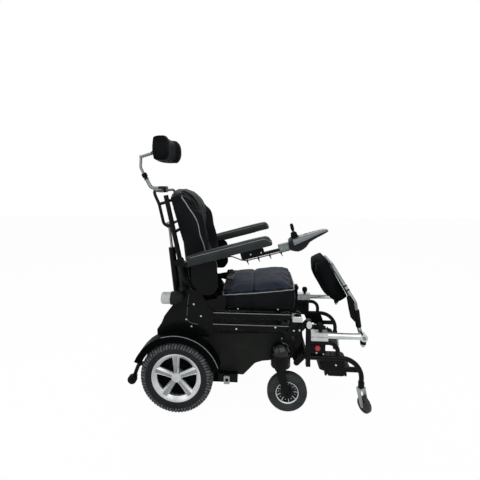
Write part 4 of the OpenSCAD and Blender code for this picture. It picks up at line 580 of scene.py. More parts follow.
def drive_rim(name, side):
    """Five spokes with a matt face between bright flanks, in a dished rim closed behind by a near-black disc
    of painted shade.
    """
    b = Build()
    centre, axis = (0, side * wheel_y, axle_z), (0, side, 0)
    b.add(spin([(118.5, -26.4), (127.4, -26.4), (127.4, 24), (126.4, 27.2), (123.5, 28), (120, 26.8),
                (114, 22), (106, 17), (102.5, 14), (101.5, 11), (103, 7), (112, 0), (118.5, -7)],
               centre, axis, 120, closed=True))
    b.add(spin([(0, 27), (7, 27), (10, 26.2), (11, 24), (15, 23.5), (20, 23), (25, 20.5), (27, 15), (27, -26),
                (0, -26)], centre, axis, 60))
    b.add(spin([(0, -20), (12, -20), (12, -131.5), (0, -131.5)], centre, axis, 24), 1)
    # A near-black disc closes the back of the rim: painted shade seen between the spokes.
    b.add(spin([(25, -26.4), (118, -26.4), (118, -22.6), (96, -22.6), (94, -20), (88, -20), (86, -22.6),
                (62, -22.6), (60, -16), (25, -14)], centre, axis, 72, closed=True), 2)
    stations = ((18, 14, 21, 1), (40, 15, 19.5, 1), (60, 16.2, 18.5, 1), (80, 18, 18.2, 1), (96, 20, 18.6, 1),
                (106, 21.6, 19.4, 1), (114, 23.4, 20.6, 1))
    matt_row = 4
    section = ((-1, -16), (-1, -8), (-0.62, 1.4), (-0.54, 2.2), (-0.48, 0.8), (0.48, 0.8), (0.54, 2.2),
               (0.62, 1.4), (1, -8), (1, -16))
    for turn in spoke_turns:
        first = len(b.kinds) + matt_row
        b.add(spoke(drive_hub, side, turn, stations, section))
        for k in range(len(stations) - 1):
            b.kinds[first + k * len(section)] = 1
        b.add(spin([(0, 0.6), (2.6, 0.6), (3.2, 1.6), (4.6, 1.4), (5, 0.4), (5, -2), (0, -2)],
                   on_wheel(drive_hub, side, nut_r, 20.4, turn), axis, 16), 1)
    obj = piece(b, "drive_rim_" + name, "drive_wheel_" + name, [ALLOY, ALLOY_MATT, PAINTED_SHADE],
                sharp=24)
    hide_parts("rear_rim_" + name)


caster_x, caster_y, caster_z = 561, 240, 102
caster_hub = (caster_x, caster_y, caster_z)
caster_spokes, stud_r = 9, 44


def caster_wheel(name, side):
    """A grooved tyre on a dark disc with thin bright spokes and a stud between each two."""
    centre, axis = (caster_x, side * caster_y, caster_z), (0, side, 0)
    line = both_ways([
        (59, 15.5), (62, 19), (66, 22), (70, 23.4), (75, 24.7), (78, 24.9), (79, 24.3), (80, 24.9),
        (86, 24.4), (92, 22.4), (96, 19.8), (99, 16.6), (100.6, 13.4), (99.4, 12.6), (99.5, 10.8),
        (101.6, 10), (101.9, 5), (100.4, 4.4), (100.4, 2.6), (102, 2)])
    b = Build().add(spin(line, centre, axis, 112, closed=True))
    tyre = piece(b, "caster_tread_" + name, "caster_wheel_" + name, [CASTER_RUBBER], sharp=45)
    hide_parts("caster_tyre_" + name)
    b = Build()
    for s in (1, -1):
        lip = ((52.5, 10), (53, 14), (55, 16), (58, 16.4), (58.6, 15), (58.6, 6), (54, 6))
        b.add(spin([(r, w * s) for r, w in lip], centre, axis, 90, closed=True))
    b.add(spin([(54.5, -8), (58.4, -8), (58.4, 8), (54.5, 8)], centre, axis, 90, closed=True), 1)
    b.add(spin(both_ways([(6.1, 24.9), (11, 24.9), (12, 23.4), (15, 22), (20.5, 15), (22, 10)]), centre, axis,
               48, closed=True), 1)
    b.add(spin([(20, -3), (55, -3), (55, 3), (20, 3)], centre, axis, 60, closed=True), 1)
    stations = ((33, 1.6, 0, 5.4), (42, 2.2, 0, 6.4), (50, 3.2, 0, 7.4), (57, 5.4, 0, 8))
    section = ((-0.5, -1), (-1, 0), (-0.5, 1), (0.5, 1), (1, 0), (0.5, -1))
    for i in range(caster_spokes):
        turn = 2 * math.pi * i / caster_spokes
        b.add(spoke(caster_hub, side, turn, stations, section))
        stud = on_wheel(caster_hub, side, stud_r, 3, turn + math.pi / caster_spokes)
        b.add(spin([(0, 2.4), (1.8, 2.2), (2.6, 1), (2.6, -1), (0, -1)], stud, axis, 10))
    hub = piece(b, "caster_rim_" + name, "caster_wheel_" + name, [ALLOY, CONTROL_LOW],
                sharp=30)
    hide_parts("caster_hub_" + name)


# Padded pieces
cloth_frames, cloth_quality, cloth_pressure, held_fast = 20, 4, 4.0, 0.95


def squircle(u, v, k):
    return u * math.sqrt(1 - k * v * v / 2), v * math.sqrt(1 - k * u * u / 2)


def pad_mesh(name, spot, nu, nv, face, rings, base):
    """A closed pad: a grid over its face, rings down its sides and a flat back."""
    grid = [face(2 * i / nu - 1, 2 * j / nv - 1) for i in range(nu + 1) for j in range(nv + 1)]
    rim = [(i, 0) for i in range(nu)] + [(nu, j) for j in range(nv)]
    rim += [(i, nv) for i in range(nu, 0, -1)] + [(0, j) for j in range(nv, 0, -1)]
    m = len(rim)
    verts = list(grid)
    ids = [[i * (nv + 1) + j for i, j in rim]]
    for ring in rings:
        ids.append([len(verts) + k for k in range(m)])
        verts += [ring(2 * i / nu - 1, 2 * j / nv - 1) for i, j in rim]
    hub = len(verts)
    verts.append(base)
    faces = []
    for i in range(nu):
        for j in range(nv):
            a = i * (nv + 1) + j
            faces.append((a, a + 1, a + nv + 2, a + nv + 1))
    for upper, lower in zip(ids, ids[1:]):
        for k in range(m):
            q = (k + 1) % m
            faces.append((upper[k], upper[q], lower[q], lower[k]))
    faces += [(hub, ids[-1][k], ids[-1][(k + 1) % m]) for k in range(m)]
    mesh = bpy.data.meshes.new(name)
    mesh.from_pydata([tuple(p) for p in spot.out(verts)], [], faces)
    work = bmesh.new()
    work.from_mesh(mesh)
    bmesh.ops.recalc_face_normals(work, faces=work.faces)
    work.to_mesh(mesh)
    work.free()
    obj = bpy.data.objects.new(name, mesh)
    bpy.context.scene.collection.objects.link(obj)
    return obj


def pad_of(name, spot, counts, plan, depth, rings, base, slim=5):
    """A pad that stands off a flat back: plan gives its outline and depth its height there."""
    def level(draw, share):
        def at(u, v):
            y, s = plan(u, v, draw + slim)
            return (depth(u, v) - slim) * share, y, s
        return at

    return pad_mesh(name, spot, *counts, level(0, 1), [level(*r) for r in rings], base)


def around(n):
    """Steps round the edge of a pad's plan, in shares of its half sizes."""
    run = [2 * i / n - 1 for i in range(n)]
    return [(t, -1) for t in run] + [(1, t) for t in run] + [(-t, 1) for t in run] + [(-1, -t) for t in run]


def applied(obj):
    graph = bpy.context.evaluated_depsgraph_get()
    mesh = bpy.data.meshes.new_from_object(obj.evaluated_get(graph))
    obj.modifiers.clear()
    obj.data = mesh


def points_of(obj, what="co"):
    out = np.empty(len(obj.data.vertices) * 3)
    obj.data.vertices.foreach_get(what, out)
    return out.reshape(-1, 3)


def set_co(obj, co):
    obj.data.vertices.foreach_set("co", np.ascontiguousarray(co).ravel())
    obj.data.update()


def stuffed(obj, spot, voxel, cap, held):
    """Blows the pad up as cloth, by cap at most: held gives the share of motion that a point keeps back."""
    cut = obj.modifiers.new("cut", "REMESH")
    cut.mode = "VOXEL"
    cut.voxel_size = voxel * MM
    applied(obj)
    start = points_of(obj)
    keep = held(spot.back(start))
    group = obj.vertex_groups.new(name="held")
    for i in np.nonzero(keep > held_fast)[0]:
        group.add([int(i)], 1.0, "REPLACE")
    cloth = obj.modifiers.new("cloth", "CLOTH")
    cloth.settings.use_pressure = True
    cloth.settings.uniform_pressure_force = cloth_pressure
    cloth.settings.effector_weights.gravity = 0
    cloth.settings.quality = cloth_quality
    cloth.settings.vertex_group_mass = "held"
    cloth.point_cache.frame_start = 1
    cloth.point_cache.frame_end = cloth_frames
    for f in range(1, cloth_frames + 1):
        bpy.context.scene.frame_set(f)
    end = points_of(obj.evaluated_get(bpy.context.evaluated_depsgraph_get()))
    obj.modifiers.clear()
    bpy.context.scene.frame_set(1)
    move = end - start
    size = np.linalg.norm(move, axis=1)
    limit = cap * MM * np.tanh(size / (cap * MM)) / np.maximum(size, 1e-9)
    set_co(obj, start + move * (limit * (1 - keep))[:, None])
    obj.vertex_groups.clear()
    finer = obj.modifiers.new("finer", "SUBSURF")
    finer.levels = finer.render_levels = 1
    applied(obj)


def sewn(obj, spot, sink):
    """Pulls the cover in along its seams and folds: sink gives the depth of points in the pad's own frame."""
    co, n = points_of(obj), points_of(obj, "normal")
    depth = sink(spot.back(co), n @ spot.turn)
    set_co(obj, co - n * (depth * MM)[:, None])


def rippled(pts, scale, seed=0.0):
    a, b, c = scale
    return np.array([noise.noise(Vector((p[0] * a, p[1] * b, p[2] * c + seed))) for p in pts])


def groove(distance, width):
    return np.exp(-(np.asarray(distance) / width) ** 2)


def paint_faces(obj, spot, pick):
    """Gives each face the material that pick chooses from its middle and normal, in the pad's own frame."""
    n = len(obj.data.polygons)
    mid, nor = np.empty(n * 3), np.empty(n * 3)
    obj.data.polygons.foreach_get("center", mid)
    obj.data.polygons.foreach_get("normal", nor)
    kinds = pick(spot.back(mid.reshape(-1, 3)), nor.reshape(-1, 3) @ spot.turn)
    obj.data.polygons.foreach_set("material_index", kinds)


def finish_pad(obj, body, mats, node):
    for m in mats:
        obj.data.materials.append(m)
    obj.data.polygons.foreach_set("use_smooth", [True] * len(obj.data.polygons))
    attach(obj, body)
    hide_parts(node)


def tree_of(obj):
    mesh = obj.data
    faces = [tuple(p.vertices) for p in mesh.polygons]
    return BVHTree.FromPolygons([v.co.copy() for v in mesh.vertices], faces)


def laid(tree, spot, pts, lift):
    """The points, moved onto a pad's cover and lifted off it."""
    out = []
    for p in spot.out(pts):
        place, normal, _, _ = tree.find_nearest(Vector(p))
        out.append(np.array(place + normal * lift * MM))
    return spot.back(out)


def evened(path, passes=3, closed=True):
    p = np.array(path)
    for _ in range(passes):
        q = (np.roll(p, 1, 0) + 2 * p + np.roll(p, -1, 0)) / 4
        if not closed:
            q[0], q[-1] = p[0], p[-1]
        p = q
    return p


def piping(tree, spot, path, lift, r, sides=8):
    """A round bead along a closed path over a pad's cover."""
    return tube(evened(laid(tree, spot, path, lift)), r, sides, closed=True)


def stitches(path, length=5.0, gap=3.0, r=0.45):
    """Thread over a seam: short raised dashes along the path."""
    p = np.array(path)
    along = np.concatenate([[0], np.cumsum(np.linalg.norm(np.diff(p, axis=0), axis=1))])
    b = Build()
    s = 0.0
    while s + length < along[-1]:
        marks = [np.array([np.interp(s + length * k, along, p[:, c]) for c in range(3)])
                 for k in (0, 0.3, 0.7, 1)]
        b.add(tube(marks, (r * 0.4, r, r, r * 0.4), 5))
        s += length + gap
    return b.verts, b.faces


# Seat
seat_x0, seat_l, seat_w = 206, 412, 436
seat_mid = seat_x0 + seat_l / 2
seat_groove_x = 387


def seat_floor(x):
    return 516.3 + 15 * (x - seat_x0) / 392


def seat_edge(x):
    return seat_floor(x) + 72 + 26 * (x - seat_x0) / seat_l


def seat_plan(u, v, draw):
    p, q = squircle(u, v, 0.2)
    return seat_mid + p * (seat_l / 2 - draw), q * (seat_w / 2 - draw)


def seat_rim(p):
    """How far points lie inside the seat's outline."""
    return np.minimum(seat_w / 2 - abs(p[:, 1]), seat_l / 2 - abs(p[:, 0] - seat_mid))


def seat():
    slim = 5

    def face(u, v):
        x, y = seat_plan(u, v, slim)
        return x, y, seat_edge(x) - slim + 12 * (1 - u ** 4) * (1 - v ** 4)

    def ring(draw, share):
        def at(u, v):
            x, y = seat_plan(u, v, draw + slim)
            return x, y, seat_floor(x) + (seat_edge(seat_plan(u, v, slim)[0]) - slim - seat_floor(x)) * share
        return at

    obj = pad_mesh("seat_pad", CHAIR, 44, 44, face, [ring(-0.5, 0.9), ring(1, 0.6), ring(3, 0.3), ring(4, 0)],
                   (seat_mid, 0, seat_floor(seat_mid)))
    stuffed(obj, CHAIR, 6, 24, lambda p: np.maximum(
        1 - smooth(p[:, 2] - seat_floor(p[:, 0]), 2, 14),
        0.55 * (1 - smooth(seat_rim(p), 8, 40))))

    def sink(p, n):
        x, y, z = p.T
        top = smooth(n[:, 2], 0.3, 0.75)
        inside = smooth(seat_rim(p), 6, 30)
        cross = groove(x - seat_groove_x, 6) * 7 + groove(x - seat_groove_x, 22) * 3
        creases = 2.2 * rippled(p, (0.008, 0.03, 0.01)) * groove(x - seat_groove_x, 55)
        soft = 2.0 * rippled(p, (0.012, 0.01, 0.012), 7.3)
        folds = 1.6 * rippled(p, (0.05, 0.05, 0.012), 3.1) * (1 - smooth(z - seat_floor(x), 20, 70))
        return top * inside * (cross + creases) + soft * np.maximum(top * inside, 0.5) + (1 - top) * folds

    sewn(obj, CHAIR, sink)
    paint_faces(obj, CHAIR, lambda p, n: np.where(p[:, 2] > seat_edge(p[:, 0]) - 1, 0, 1))
    finish_pad(obj, "seat", [NAVY, VINYL], "seat_cushion")
    tree = tree_of(obj)
    for name, drop, r, finish in (("seat_piping_top", 0, 2.6, PIPING_AND_HIGHLIGHT), ("seat_piping_low", 62, 1.8, VINYL)):
        path = []
        for u, v in around(40):
            x, y = seat_plan(u, v, 0)
            path.append((x, y, seat_edge(x) - drop * (0.8 + 0.25 * (x - seat_x0) / seat_l)))
        piece(Build().add(piping(tree, CHAIR, path, r * 0.35, r, 10)), name, "seat", [finish])
    b = Build()
    for offset in (-9, 9):
        x, z = seat_groove_x + offset, seat_edge(seat_groove_x) + 30
        line = [(x, y, z) for y in np.linspace(-196, 196, 120)]
        b.add(stitches(laid(tree, CHAIR, line, 0.1)))
    piece(b, "seat_stitching", "seat", [PIPING_AND_HIGHLIGHT])
    return tree


belt_x, belt_w, belt_t, belt_low = 226, 44, 2.4, 503
belt_section = ((-0.5, -0.3), (-0.47, -0.5), (0.47, -0.5), (0.5, -0.3), (0.5, 0.3), (0.47, 0.5), (0.2, 0.62),
                (-0.2, 0.62), (-0.47, 0.5), (-0.5, 0.3))


def lap_belt(tree):
    """Webbing over the rear of the cushion, with a buckle and its button."""
    mid, half = belt_x + belt_w / 2, seat_w / 2 + 6
    spine = []
    for y in np.linspace(-half, half, 61):
        above = Vector(CHAIR.out((mid, float(np.clip(y, -212, 212)), 800)))
        z = CHAIR.back(np.array(tree.ray_cast(above, Vector((0, 0, -1)))[0]))[2] + 5.5
        spine.append((mid + 3 * math.sin(y / 40), y, z - 6 * float(smooth(abs(y), half - 16, half))))
    right = [(mid, -half - 1.5, z) for z in np.linspace(belt_low, spine[0][2] - 8, 10)]
    left = [(x, -y, z) for x, y, z in right]
    pts = np.array(right + spine + left[::-1])
    ahead = np.array([1.0, 0, 0])
    rows = []
    for i, p in enumerate(pts):
        tangent = pts[min(i + 1, len(pts) - 1)] - pts[max(i - 1, 0)]
        up = np.cross(ahead, tangent / np.linalg.norm(tangent))
        rows.append([p + ahead * belt_w * s + up * belt_t * h for s, h in belt_section])
    b = Build().add(prism(rows))
    top = pts[len(pts) // 2][2]
    buckle = ((-32, 4, 20), (-30, 8, 21), (-14, 14, 23), (6, 16, 24), (20, 15, 23), (30, 9, 21), (32, 5, 20))
    b.add(prism([[(mid + s * w, y, top + (h if q else -2) - (2 if abs(s) == 1 else 0))
                  for s, q in ((-1, 0), (-1, 1), (-0.8, 1), (0.8, 1), (1, 1), (1, 0))]
                 for y, h, w in buckle]), 1)
    button = ((2, 16.5, 14), (4, 18, 15), (16, 17, 15), (18, 15, 14))
    b.add(prism([[(mid + s * w, y, top + (h if q else 6)) for s, q in ((-1, 0), (-1, 1), (1, 1), (1, 0))]
                 for y, h, w in button]), 2)
    obj = piece(b, "lap_strap", "seat", [WEBBING, CONTROL_LOW, SOFT_RUBBER])
    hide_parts("lap_belt")


# Back
back_w, back_l, back_core, bolster_h, back_bulge = 416, 520, 66, 50, 34
ridge_u, ridge_steps = 0.93, 70


def bolster(u, v):
    lift = float(smooth(abs(u), 0.42, 0.76)) * (1 - 0.25 * float(smooth(abs(u), 0.86, 1)))
    return lift * (0.6 + 0.4 * float(smooth(v, -1, -0.2)) if v < -0.2 else 1 - float(smooth(v, 0, 1)))


def bulge(u, v):
    return float(smooth(v, -0.1, 0.4) * (1 - smooth(v, 0.72, 1))) * (1 - u ** 4)


def back_plan(u, v, draw):
    p, q = squircle(u, v, 0.24)
    return p * (back_w / 2 - draw), back_l / 2 + q * (back_l / 2 - draw) - back_l * 0.05 * u * u * max(v, 0)


def back_depth(u, v):
    core = back_core * (0.86 + 0.14 * (1 - u ** 4) * (1 - v ** 4))
    return core + bolster_h * bolster(u, v) + back_bulge * bulge(u, v)


def back():
    obj = pad_of("back_pad", BACK, (52, 48), back_plan, back_depth,
                 [(-0.5, 0.85), (0, 0.5), (3, 0.2), (4, 0)], (0, 0, back_l / 2))
    stuffed(obj, BACK, 6, 22, lambda p: np.maximum(
        1 - smooth(p[:, 0], 2, 14), 0.6 * (1 - smooth(back_w / 2 - abs(p[:, 1]), 6, 40))))
    seam_y = 0.44 * back_w / 2

    def sink(p, n):
        d, y, s = p.T
        front = smooth(n[:, 0], 0.15, 0.6)
        inside = smooth(np.minimum(s, back_l - s), 10, 60)
        seam = groove(abs(y) - seam_y, 5) * 7 + groove(abs(y) - seam_y, 18) * 3
        middle = smooth(seam_y - abs(y), 0, 20)
        rows = sum(groove(s - at, 5) * 6 + groove(s - at, 20) * 2 for at in (165, 330)) * middle
        pull = 3.4 * rippled(p, (0.0, 0.05, 0.011), 2.0) * middle
        folds = 2.6 * rippled(p, (0.01, 0.035, 0.016), 9.0) * groove(abs(y) - seam_y, 60)
        lean = 16 * np.sin(s / 120)
        pleats = sum(groove(abs(y) - at - lean * turn, 4) * 5
                     for at, turn in ((112, 1), (134, 0.6), (156, 0.3))) * smooth(s, 120, 260)
        soft = 1.6 * rippled(p, (0.012, 0.014, 0.01), 5.0)
        return front * inside * (seam + rows + pull + folds + pleats) + soft * smooth(d, 8, 30)

    sewn(obj, BACK, sink)
    finish_pad(obj, "back", [VINYL], "back_cushion")
    tree = tree_of(obj)
    # The light grey tubes along the bolster crests are painted highlights; the black bead round the face is
    # real piping.
    b = Build()
    for side in (RIGHT, LEFT):
        line = [(back_depth(ridge_u, v) + 2, *back_plan(ridge_u * side, v, 0))
                for v in np.linspace(-0.96, 0.9, ridge_steps)]
        b.add(tube(evened(laid(tree, BACK, line, 0.9), 4, False), np.linspace(2.2, 3.6, ridge_steps), 8), 1)
    b.add(piping(tree, BACK, [(16, *back_plan(u, v, 0)) for u, v in around(36)], 0.8, 2.0))
    piece(b, "back_piping_and_ridge_highlights", "back", [VINYL, PIPING_AND_HIGHLIGHT], spot=BACK)


# Headrest
head_w, head_h, head_core, head_wing = 320, 162, 64, 24


def head_plan(u, v, draw):
    p, q = squircle(u, v, 0.5)
    return p * (head_w / 2 - draw), q * (head_h / 2 - draw)


def head_depth(u, v):
    wing = float(smooth(abs(u), 0.3, 0.78)) * (1 - 0.12 * float(smooth(abs(u), 0.86, 1))) * (1 - 0.3 * v * v)
    return head_core * (0.8 + 0.2 * (1 - v ** 4)) + head_wing * wing


def headrest():
    obj = pad_of("head_pad", HEAD, (40, 28), head_plan, head_depth,
                 [(-0.5, 0.9), (0, 0.6), (3, 0.25), (9, 0)], (0, 0, 0))
    stuffed(obj, HEAD, 4.5, 14, lambda p: 1 - smooth(p[:, 0], 1, 10))

    def sink(p, n):
        d, y, s = p.T
        seam = groove(d - 28 - 0.1 * abs(y), 3) * 1.1 * smooth(abs(n[:, 1]) + abs(n[:, 2]), 0.4, 0.8)
        return seam + 1.2 * rippled(p, (0.02, 0.02, 0.02), 4.0)

    sewn(obj, HEAD, sink)
    finish_pad(obj, "headrest", [VINYL_SOFT], "headrest_cushion")
    b = Build()
    ball, back_way = np.array([-40, 0, -13]), (1, 0, 0)
    b.add(spin([(0, 34), (21, 34), (22, 32), (22, 14), (20, 11), (17.5, 10), (17, 5), (15.6, 0.5), (13, 0.4),
                (12.6, 6)], ball, back_way, 36))
    b.add(spin([(22.6, 16), (23.6, 17), (23.6, 21), (22.6, 22)], ball, back_way, 36, closed=True))
    b.add(spin([(0, 46), (30, 46), (34, 43), (34, 38), (30, 36), (0, 36)], ball, back_way, 40))
    for side in (RIGHT, LEFT):
        b.add(spin([(4.3, 12.6), (9.6, 12.6), (10.2, 13.4), (10.2, 21.4), (9.6, 22.2), (4.3, 22.2)], ball,
                   (0, side, 0), 28, closed=True))
    piece(b, "head_cup", "headrest", [CONTROL_LOW], spot=HEAD)
    mast_top, rise = np.array([-262, 0, 1224]), 62.8
    way = np.array([cos(rise), 0, -sin(rise)])
    collar = [(15, 0), (16.2, 1), (16.2, 4), (15.4, 5), (15.4, 18), (16.2, 19), (16.2, 21), (15, 22),
              (11.2, 24), (11.2, 31), (14, 33), (14, 37), (11, 38)]
    b = Build().add(spin(collar, mast_top, way, 32))
    piece(b, "mast_collar", "back", [SOFT_RUBBER])
    x, z = -146.8, 1132.7
    rows = [[(x + c * (23.2 + grow), y, z + h * (18.2 + grow)) for c, h in chamfered(0.8, 0.85)]
            for y, grow in ((-21.4, -2), (-20.6, 0), (20.6, 0), (21.4, -2))]
    piece(Build().add(prism(rows)), "bar_clamp_cover", "back", [CONTROL_LOW])


# Knee pad
knee_w, knee_l, knee_h, knee_hollow = 240, 275, 94, 20


def knee_plan(u, v, draw):
    p, q = squircle(u, v, 0.45)
    return p * (knee_w / 2 - draw), q * (knee_l / 2 - draw)


def knee_depth(u, v):
    dish = (1 - float(smooth(abs(abs(u) - 0.48), 0, 0.42))) * (1 - v ** 6)
    return knee_h * (1 - 0.22 * v ** 4) * (1 - 0.15 * u ** 6) - knee_hollow * dish


def knee_pad():
    obj = pad_of("knee_pad", KNEE, (48, 34), knee_plan, knee_depth,
                 [(-0.5, 0.85), (0, 0.5), (3, 0.2), (5, 0)], (0, 0, 0))
    stuffed(obj, KNEE, 5.5, 16, lambda p: 1 - smooth(p[:, 0], 2, 12))

    def sink(p, n):
        d, y, s = p.T
        side = smooth(abs(n[:, 1]), 0.4, 0.8)
        seam = groove(s + 40 + 0.35 * d, 3.0) * 2.4
        return side * seam + 1.4 * rippled(p, (0.018, 0.018, 0.018), 6.0)

    sewn(obj, KNEE, sink)
    finish_pad(obj, "knee_pad", [VINYL_SOFT], "knee_cushion")
    tree = tree_of(obj)
    b = Build()
    for share in (0.84, 0.1):
        path = [(knee_depth(u, v) * share, *knee_plan(u, v, 0)) for u, v in around(36)]
        b.add(piping(tree, KNEE, path, 0.7, 1.8))
    piece(b, "knee_piping", "knee_pad", [VINYL_SOFT], spot=KNEE)


hoop_foot, hoop_knee, hoop_top = (np.array(p) for p in ((928, 205, 414), (903, 205, 561), (810, 90, 727)))
clamp_y = 263


def knee_fittings(name, side):
    """A black sleeve, bands and a wing plate on a leg of the hoop, and the hand knob under its clamp."""
    flip = np.array([1, side, 1])
    sleeve = [(10.2, 22), (13, 23), (13.8, 30), (14, 62), (15, 104), (14.4, 112), (10.4, 114)]
    b = Build().add(spin(sleeve, hoop_foot * flip, (hoop_knee - hoop_foot) * flip, 28, closed=True))
    for at in (64, 88):
        band = [(10.2, at), (11.6, at + 1), (11.6, at + 7), (10.2, at + 8)]
        b.add(spin(band, hoop_knee * flip, (hoop_top - hoop_knee) * flip, 28, closed=True))
    wedge = [(919, 452), (900, 466), (883, 484), (872, 530), (861, 586), (866, 597), (880, 596), (903, 560),
             (914, 500)]
    b.add(slab(wedge, [(198, -1.5), (199.5, 0), (210.5, 0), (212, -1.5)], side))
    piece(b, "knee_sleeves_" + name, "knee_pad", [SOFT_RUBBER], sharp=32)
    wing = [(-90, 70), (-84, 92), (10, 148), (108, 208), (122, 204), (134, 170), (137, 112), (137, 90)]
    rows = [[(d, side * (y - trim), along) for along, y in wing]
            for d, trim in ((-10, 1), (-9, 0), (-3.6, 0), (-2.6, 1))]
    piece(Build().add(prism(rows)), "knee_wing_" + name, "knee_pad", [SOFT_RUBBER], spot=KNEE)
    b = Build()
    low = (hoop_foot[0], side * clamp_y, 392)
    b.add(spin([(0, 0), (12, 0), (14.2, 1.6), (14.6, 6), (13.8, 14), (11, 19), (7, 20.4), (0, 20.4)], low,
               (0, 0, -1), 10))
    b.add(spin([(0, 20), (6, 20), (7, 21), (7.2, 27), (5.6, 29.4), (0, 30)], low, (0, 0, -1), 24), 1)
    piece(b, "clamp_knob_" + name, "knee_slides", [SOFT_RUBBER, STEEL], sharp=28)


# Arm pads
pad_start, pad_l, pad_w, pad_h, arm_y, arm_low = 55, 436, 60, 30, 275, -21


def arm_pad(name, side):
    """A thick pad that takes in the arm tube, with a rounded nose and a light bead of painted highlight along
    its front edge.
    """
    mid = pad_start + pad_l / 2
    slim = 2

    def plan(u, v, draw):
        p, q = squircle(u, v, 0.12)
        return mid + p * (pad_l / 2 - draw), q * (pad_w / 2 - draw) + side * arm_y

    def height(u, v):
        nose = min(max((u - 0.86) / 0.14, 0), 1)
        cover = (0.87 + 0.13 * (1 - v ** 4)) * (1 - 0.1 * max(-u, 0) ** 8)
        return arm_low + (pad_h - slim - arm_low) * (cover * (0.4 + 0.6 * math.sqrt(1 - nose ** 2)))

    def face(u, v):
        return *plan(u, v, slim), height(u, v)

    def ring(draw, share):
        def at(u, v):
            return *plan(u, v, draw + slim), arm_low + (height(u, v) - arm_low) * share
        return at

    obj = pad_mesh("arm_cushion_" + name, ARM, 60, 16, face, [ring(-0.3, 0.8), ring(0.3, 0.4), ring(1.5, 0)],
                   (mid, side * arm_y, arm_low))
    stuffed(obj, ARM, 4.5, 5, lambda p: 1 - smooth(p[:, 2], arm_low + 2, arm_low + 14))

    def sink(p, n):
        x, y, z = p.T
        line = groove(z + 6, 1.6) * 1.1
        return line * smooth(abs(n[:, 1]), 0.5, 0.9) + 0.5 * rippled(p, (0.02, 0.03, 0.03), 1.0)

    sewn(obj, ARM, sink)
    finish_pad(obj, "arm_" + name, [ARM_FOAM], "arm_pad_" + name)
    # The light grey bead along the front edge is a painted highlight.
    edge = [(*plan(u, v, 0), height(u, v) + 1) for u, v in around(40) if u >= -0.9]
    path = evened(laid(tree_of(obj), ARM, edge, 0.3), 3, False)
    piece(Build().add(tube(path, 1.4, 8)), "arm_highlight_bead_" + name, "arm_" + name, [PIPING_AND_HIGHLIGHT], spot=ARM)


# Controller
stick_x = 600


def controller():
    """Two moulded shells: a pale top that sweeps up to the nose and a dark belly."""
    stations = np.array([566, 568, 574, 586, 600, 618, 640, 662, 690, 716, 738, 752, 760, 762])
    tops = np.array([-17, -15, -13.5, -12.4, -11.4, -10.4, -9.6, -8.8, -7.9, -7.4, -7.2, -9.4, -14, -18])
    lows = np.array([-66, -69, -72, -78, -82.4, -80, -70, -50, -41, -35, -29.6, -26.4, -23.4, -20])
    wide = np.array([31, 33, 34.4, 35, 35, 35, 35, 34.4, 31, 27, 22.4, 18, 12, 6])
    split = np.array([-44, -44, -44, -43, -41, -38, -34, -30, -25, -21, -18.4, -18, -18.6, -19])
    b = Build()
    steps, dark_rows = 28, 3
    for kind in (0, 1):
        rows = []
        for l, top, low, w, seam in zip(stations, tops, lows, wide, split):
            edge = seam + (0.5 if kind == 0 else -0.5)
            tall = (top - edge) if kind == 0 else (low - edge)
            row = []
            for k in range(steps + 1):
                a = math.pi * k / steps
                bend = 0.55 if kind == 0 else 0.62
                c, s = math.cos(a), math.sin(a)
                row.append((l, -arm_y + w * math.copysign(abs(c) ** bend, c), edge + tall * s ** bend))
            rows.append(row)
        b.add(prism(rows), kind)
        if kind == 0:
            b.kinds[:dark_rows * (steps + 1)] = [1] * (dark_rows * (steps + 1))
    seal = ((-1, -1.2), (-1, 1.2), (1, 1.2), (1, -1.2))
    b.add(prism([[(l, -arm_y + (w - 1.6) * c, seam + h) for c, h in seal]
                 for l, w, seam in zip(stations, wide, split)]), 1)
    b.add(spin([(24.4, -2), (24.4, 1.8), (26.4, 1.4), (27.6, -0.4), (27.6, -3)], (stick_x, -arm_y, -11.4),
               (0, 0, 1), 48, closed=True), 1)
    for i in range(4):
        b.add(spin([(0, 0.5), (4.2, 0.4), (5.2, 0), (5.2, -3), (0, -3)],
                   (676 + 15 * i, -arm_y, -7.9 + 0.25 * i), (0, 0, 1), 24), 1)
    obj = piece(b, "controller_shells", "arm_right", [CONTROL_TOP, CONTROL_LOW], spot=ARM,
                sharp=50)
    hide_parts("controller")
    half, z = 17, -46
    rows = [[(l, -arm_y + c * (half + grow), z + h * (half + grow)) for c, h in chamfered(0.86, 0.86)]
            for l, grow in ((511.4, -2.4), (513, -0.4), (516, 0.4), (560, 0.4), (564, -0.4), (565.6, -2.4))]
    b = Build().add(prism(rows))
    for l in (526, 552):
        b.add(spin([(0, 2.4), (2.4, 2.2), (3.6, 1), (3.6, -1), (0, -1)], (l, -arm_y - half, z),
                   (0, -1, 0), 16), 1)
    piece(b, "controller_block", "arm_right", [CONTROL_TOP, STEEL], spot=ARM)


def joystick():
    """The folded rubber boot, the knob on top and the cross pin under it."""
    bellows = [
        (0, -14), (4.5, -14), (4.5, 0), (18, 0), (18.6, 2), (18, 4.4), (15.4, 5.6), (15.2, 7), (16.8, 8.6),
        (17, 11), (16.2, 13), (13.8, 14.2), (13.7, 15.6), (15, 17), (15.2, 19.4), (14.2, 21.6), (12, 23),
        (9, 25), (5.2, 26.4), (4.8, 30), (6.6, 32), (8.2, 36), (8.6, 44), (8.5, 54), (8, 60), (6.6, 64.6),
        (3.4, 66.8), (0, 67)]
    b = Build().add(spin(bellows, (stick_x, -arm_y, -10), (0, 0, 1), 40))
    b.add(spin([(0, -12), (2, -12), (2, 12), (0, 12)], (stick_x, -arm_y, -22), (1, 0, 0), 16))
    obj = piece(b, "stick_boot_knob", "stick", [SOFT_RUBBER], spot=ARM, sharp=45)
    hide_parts("joystick")


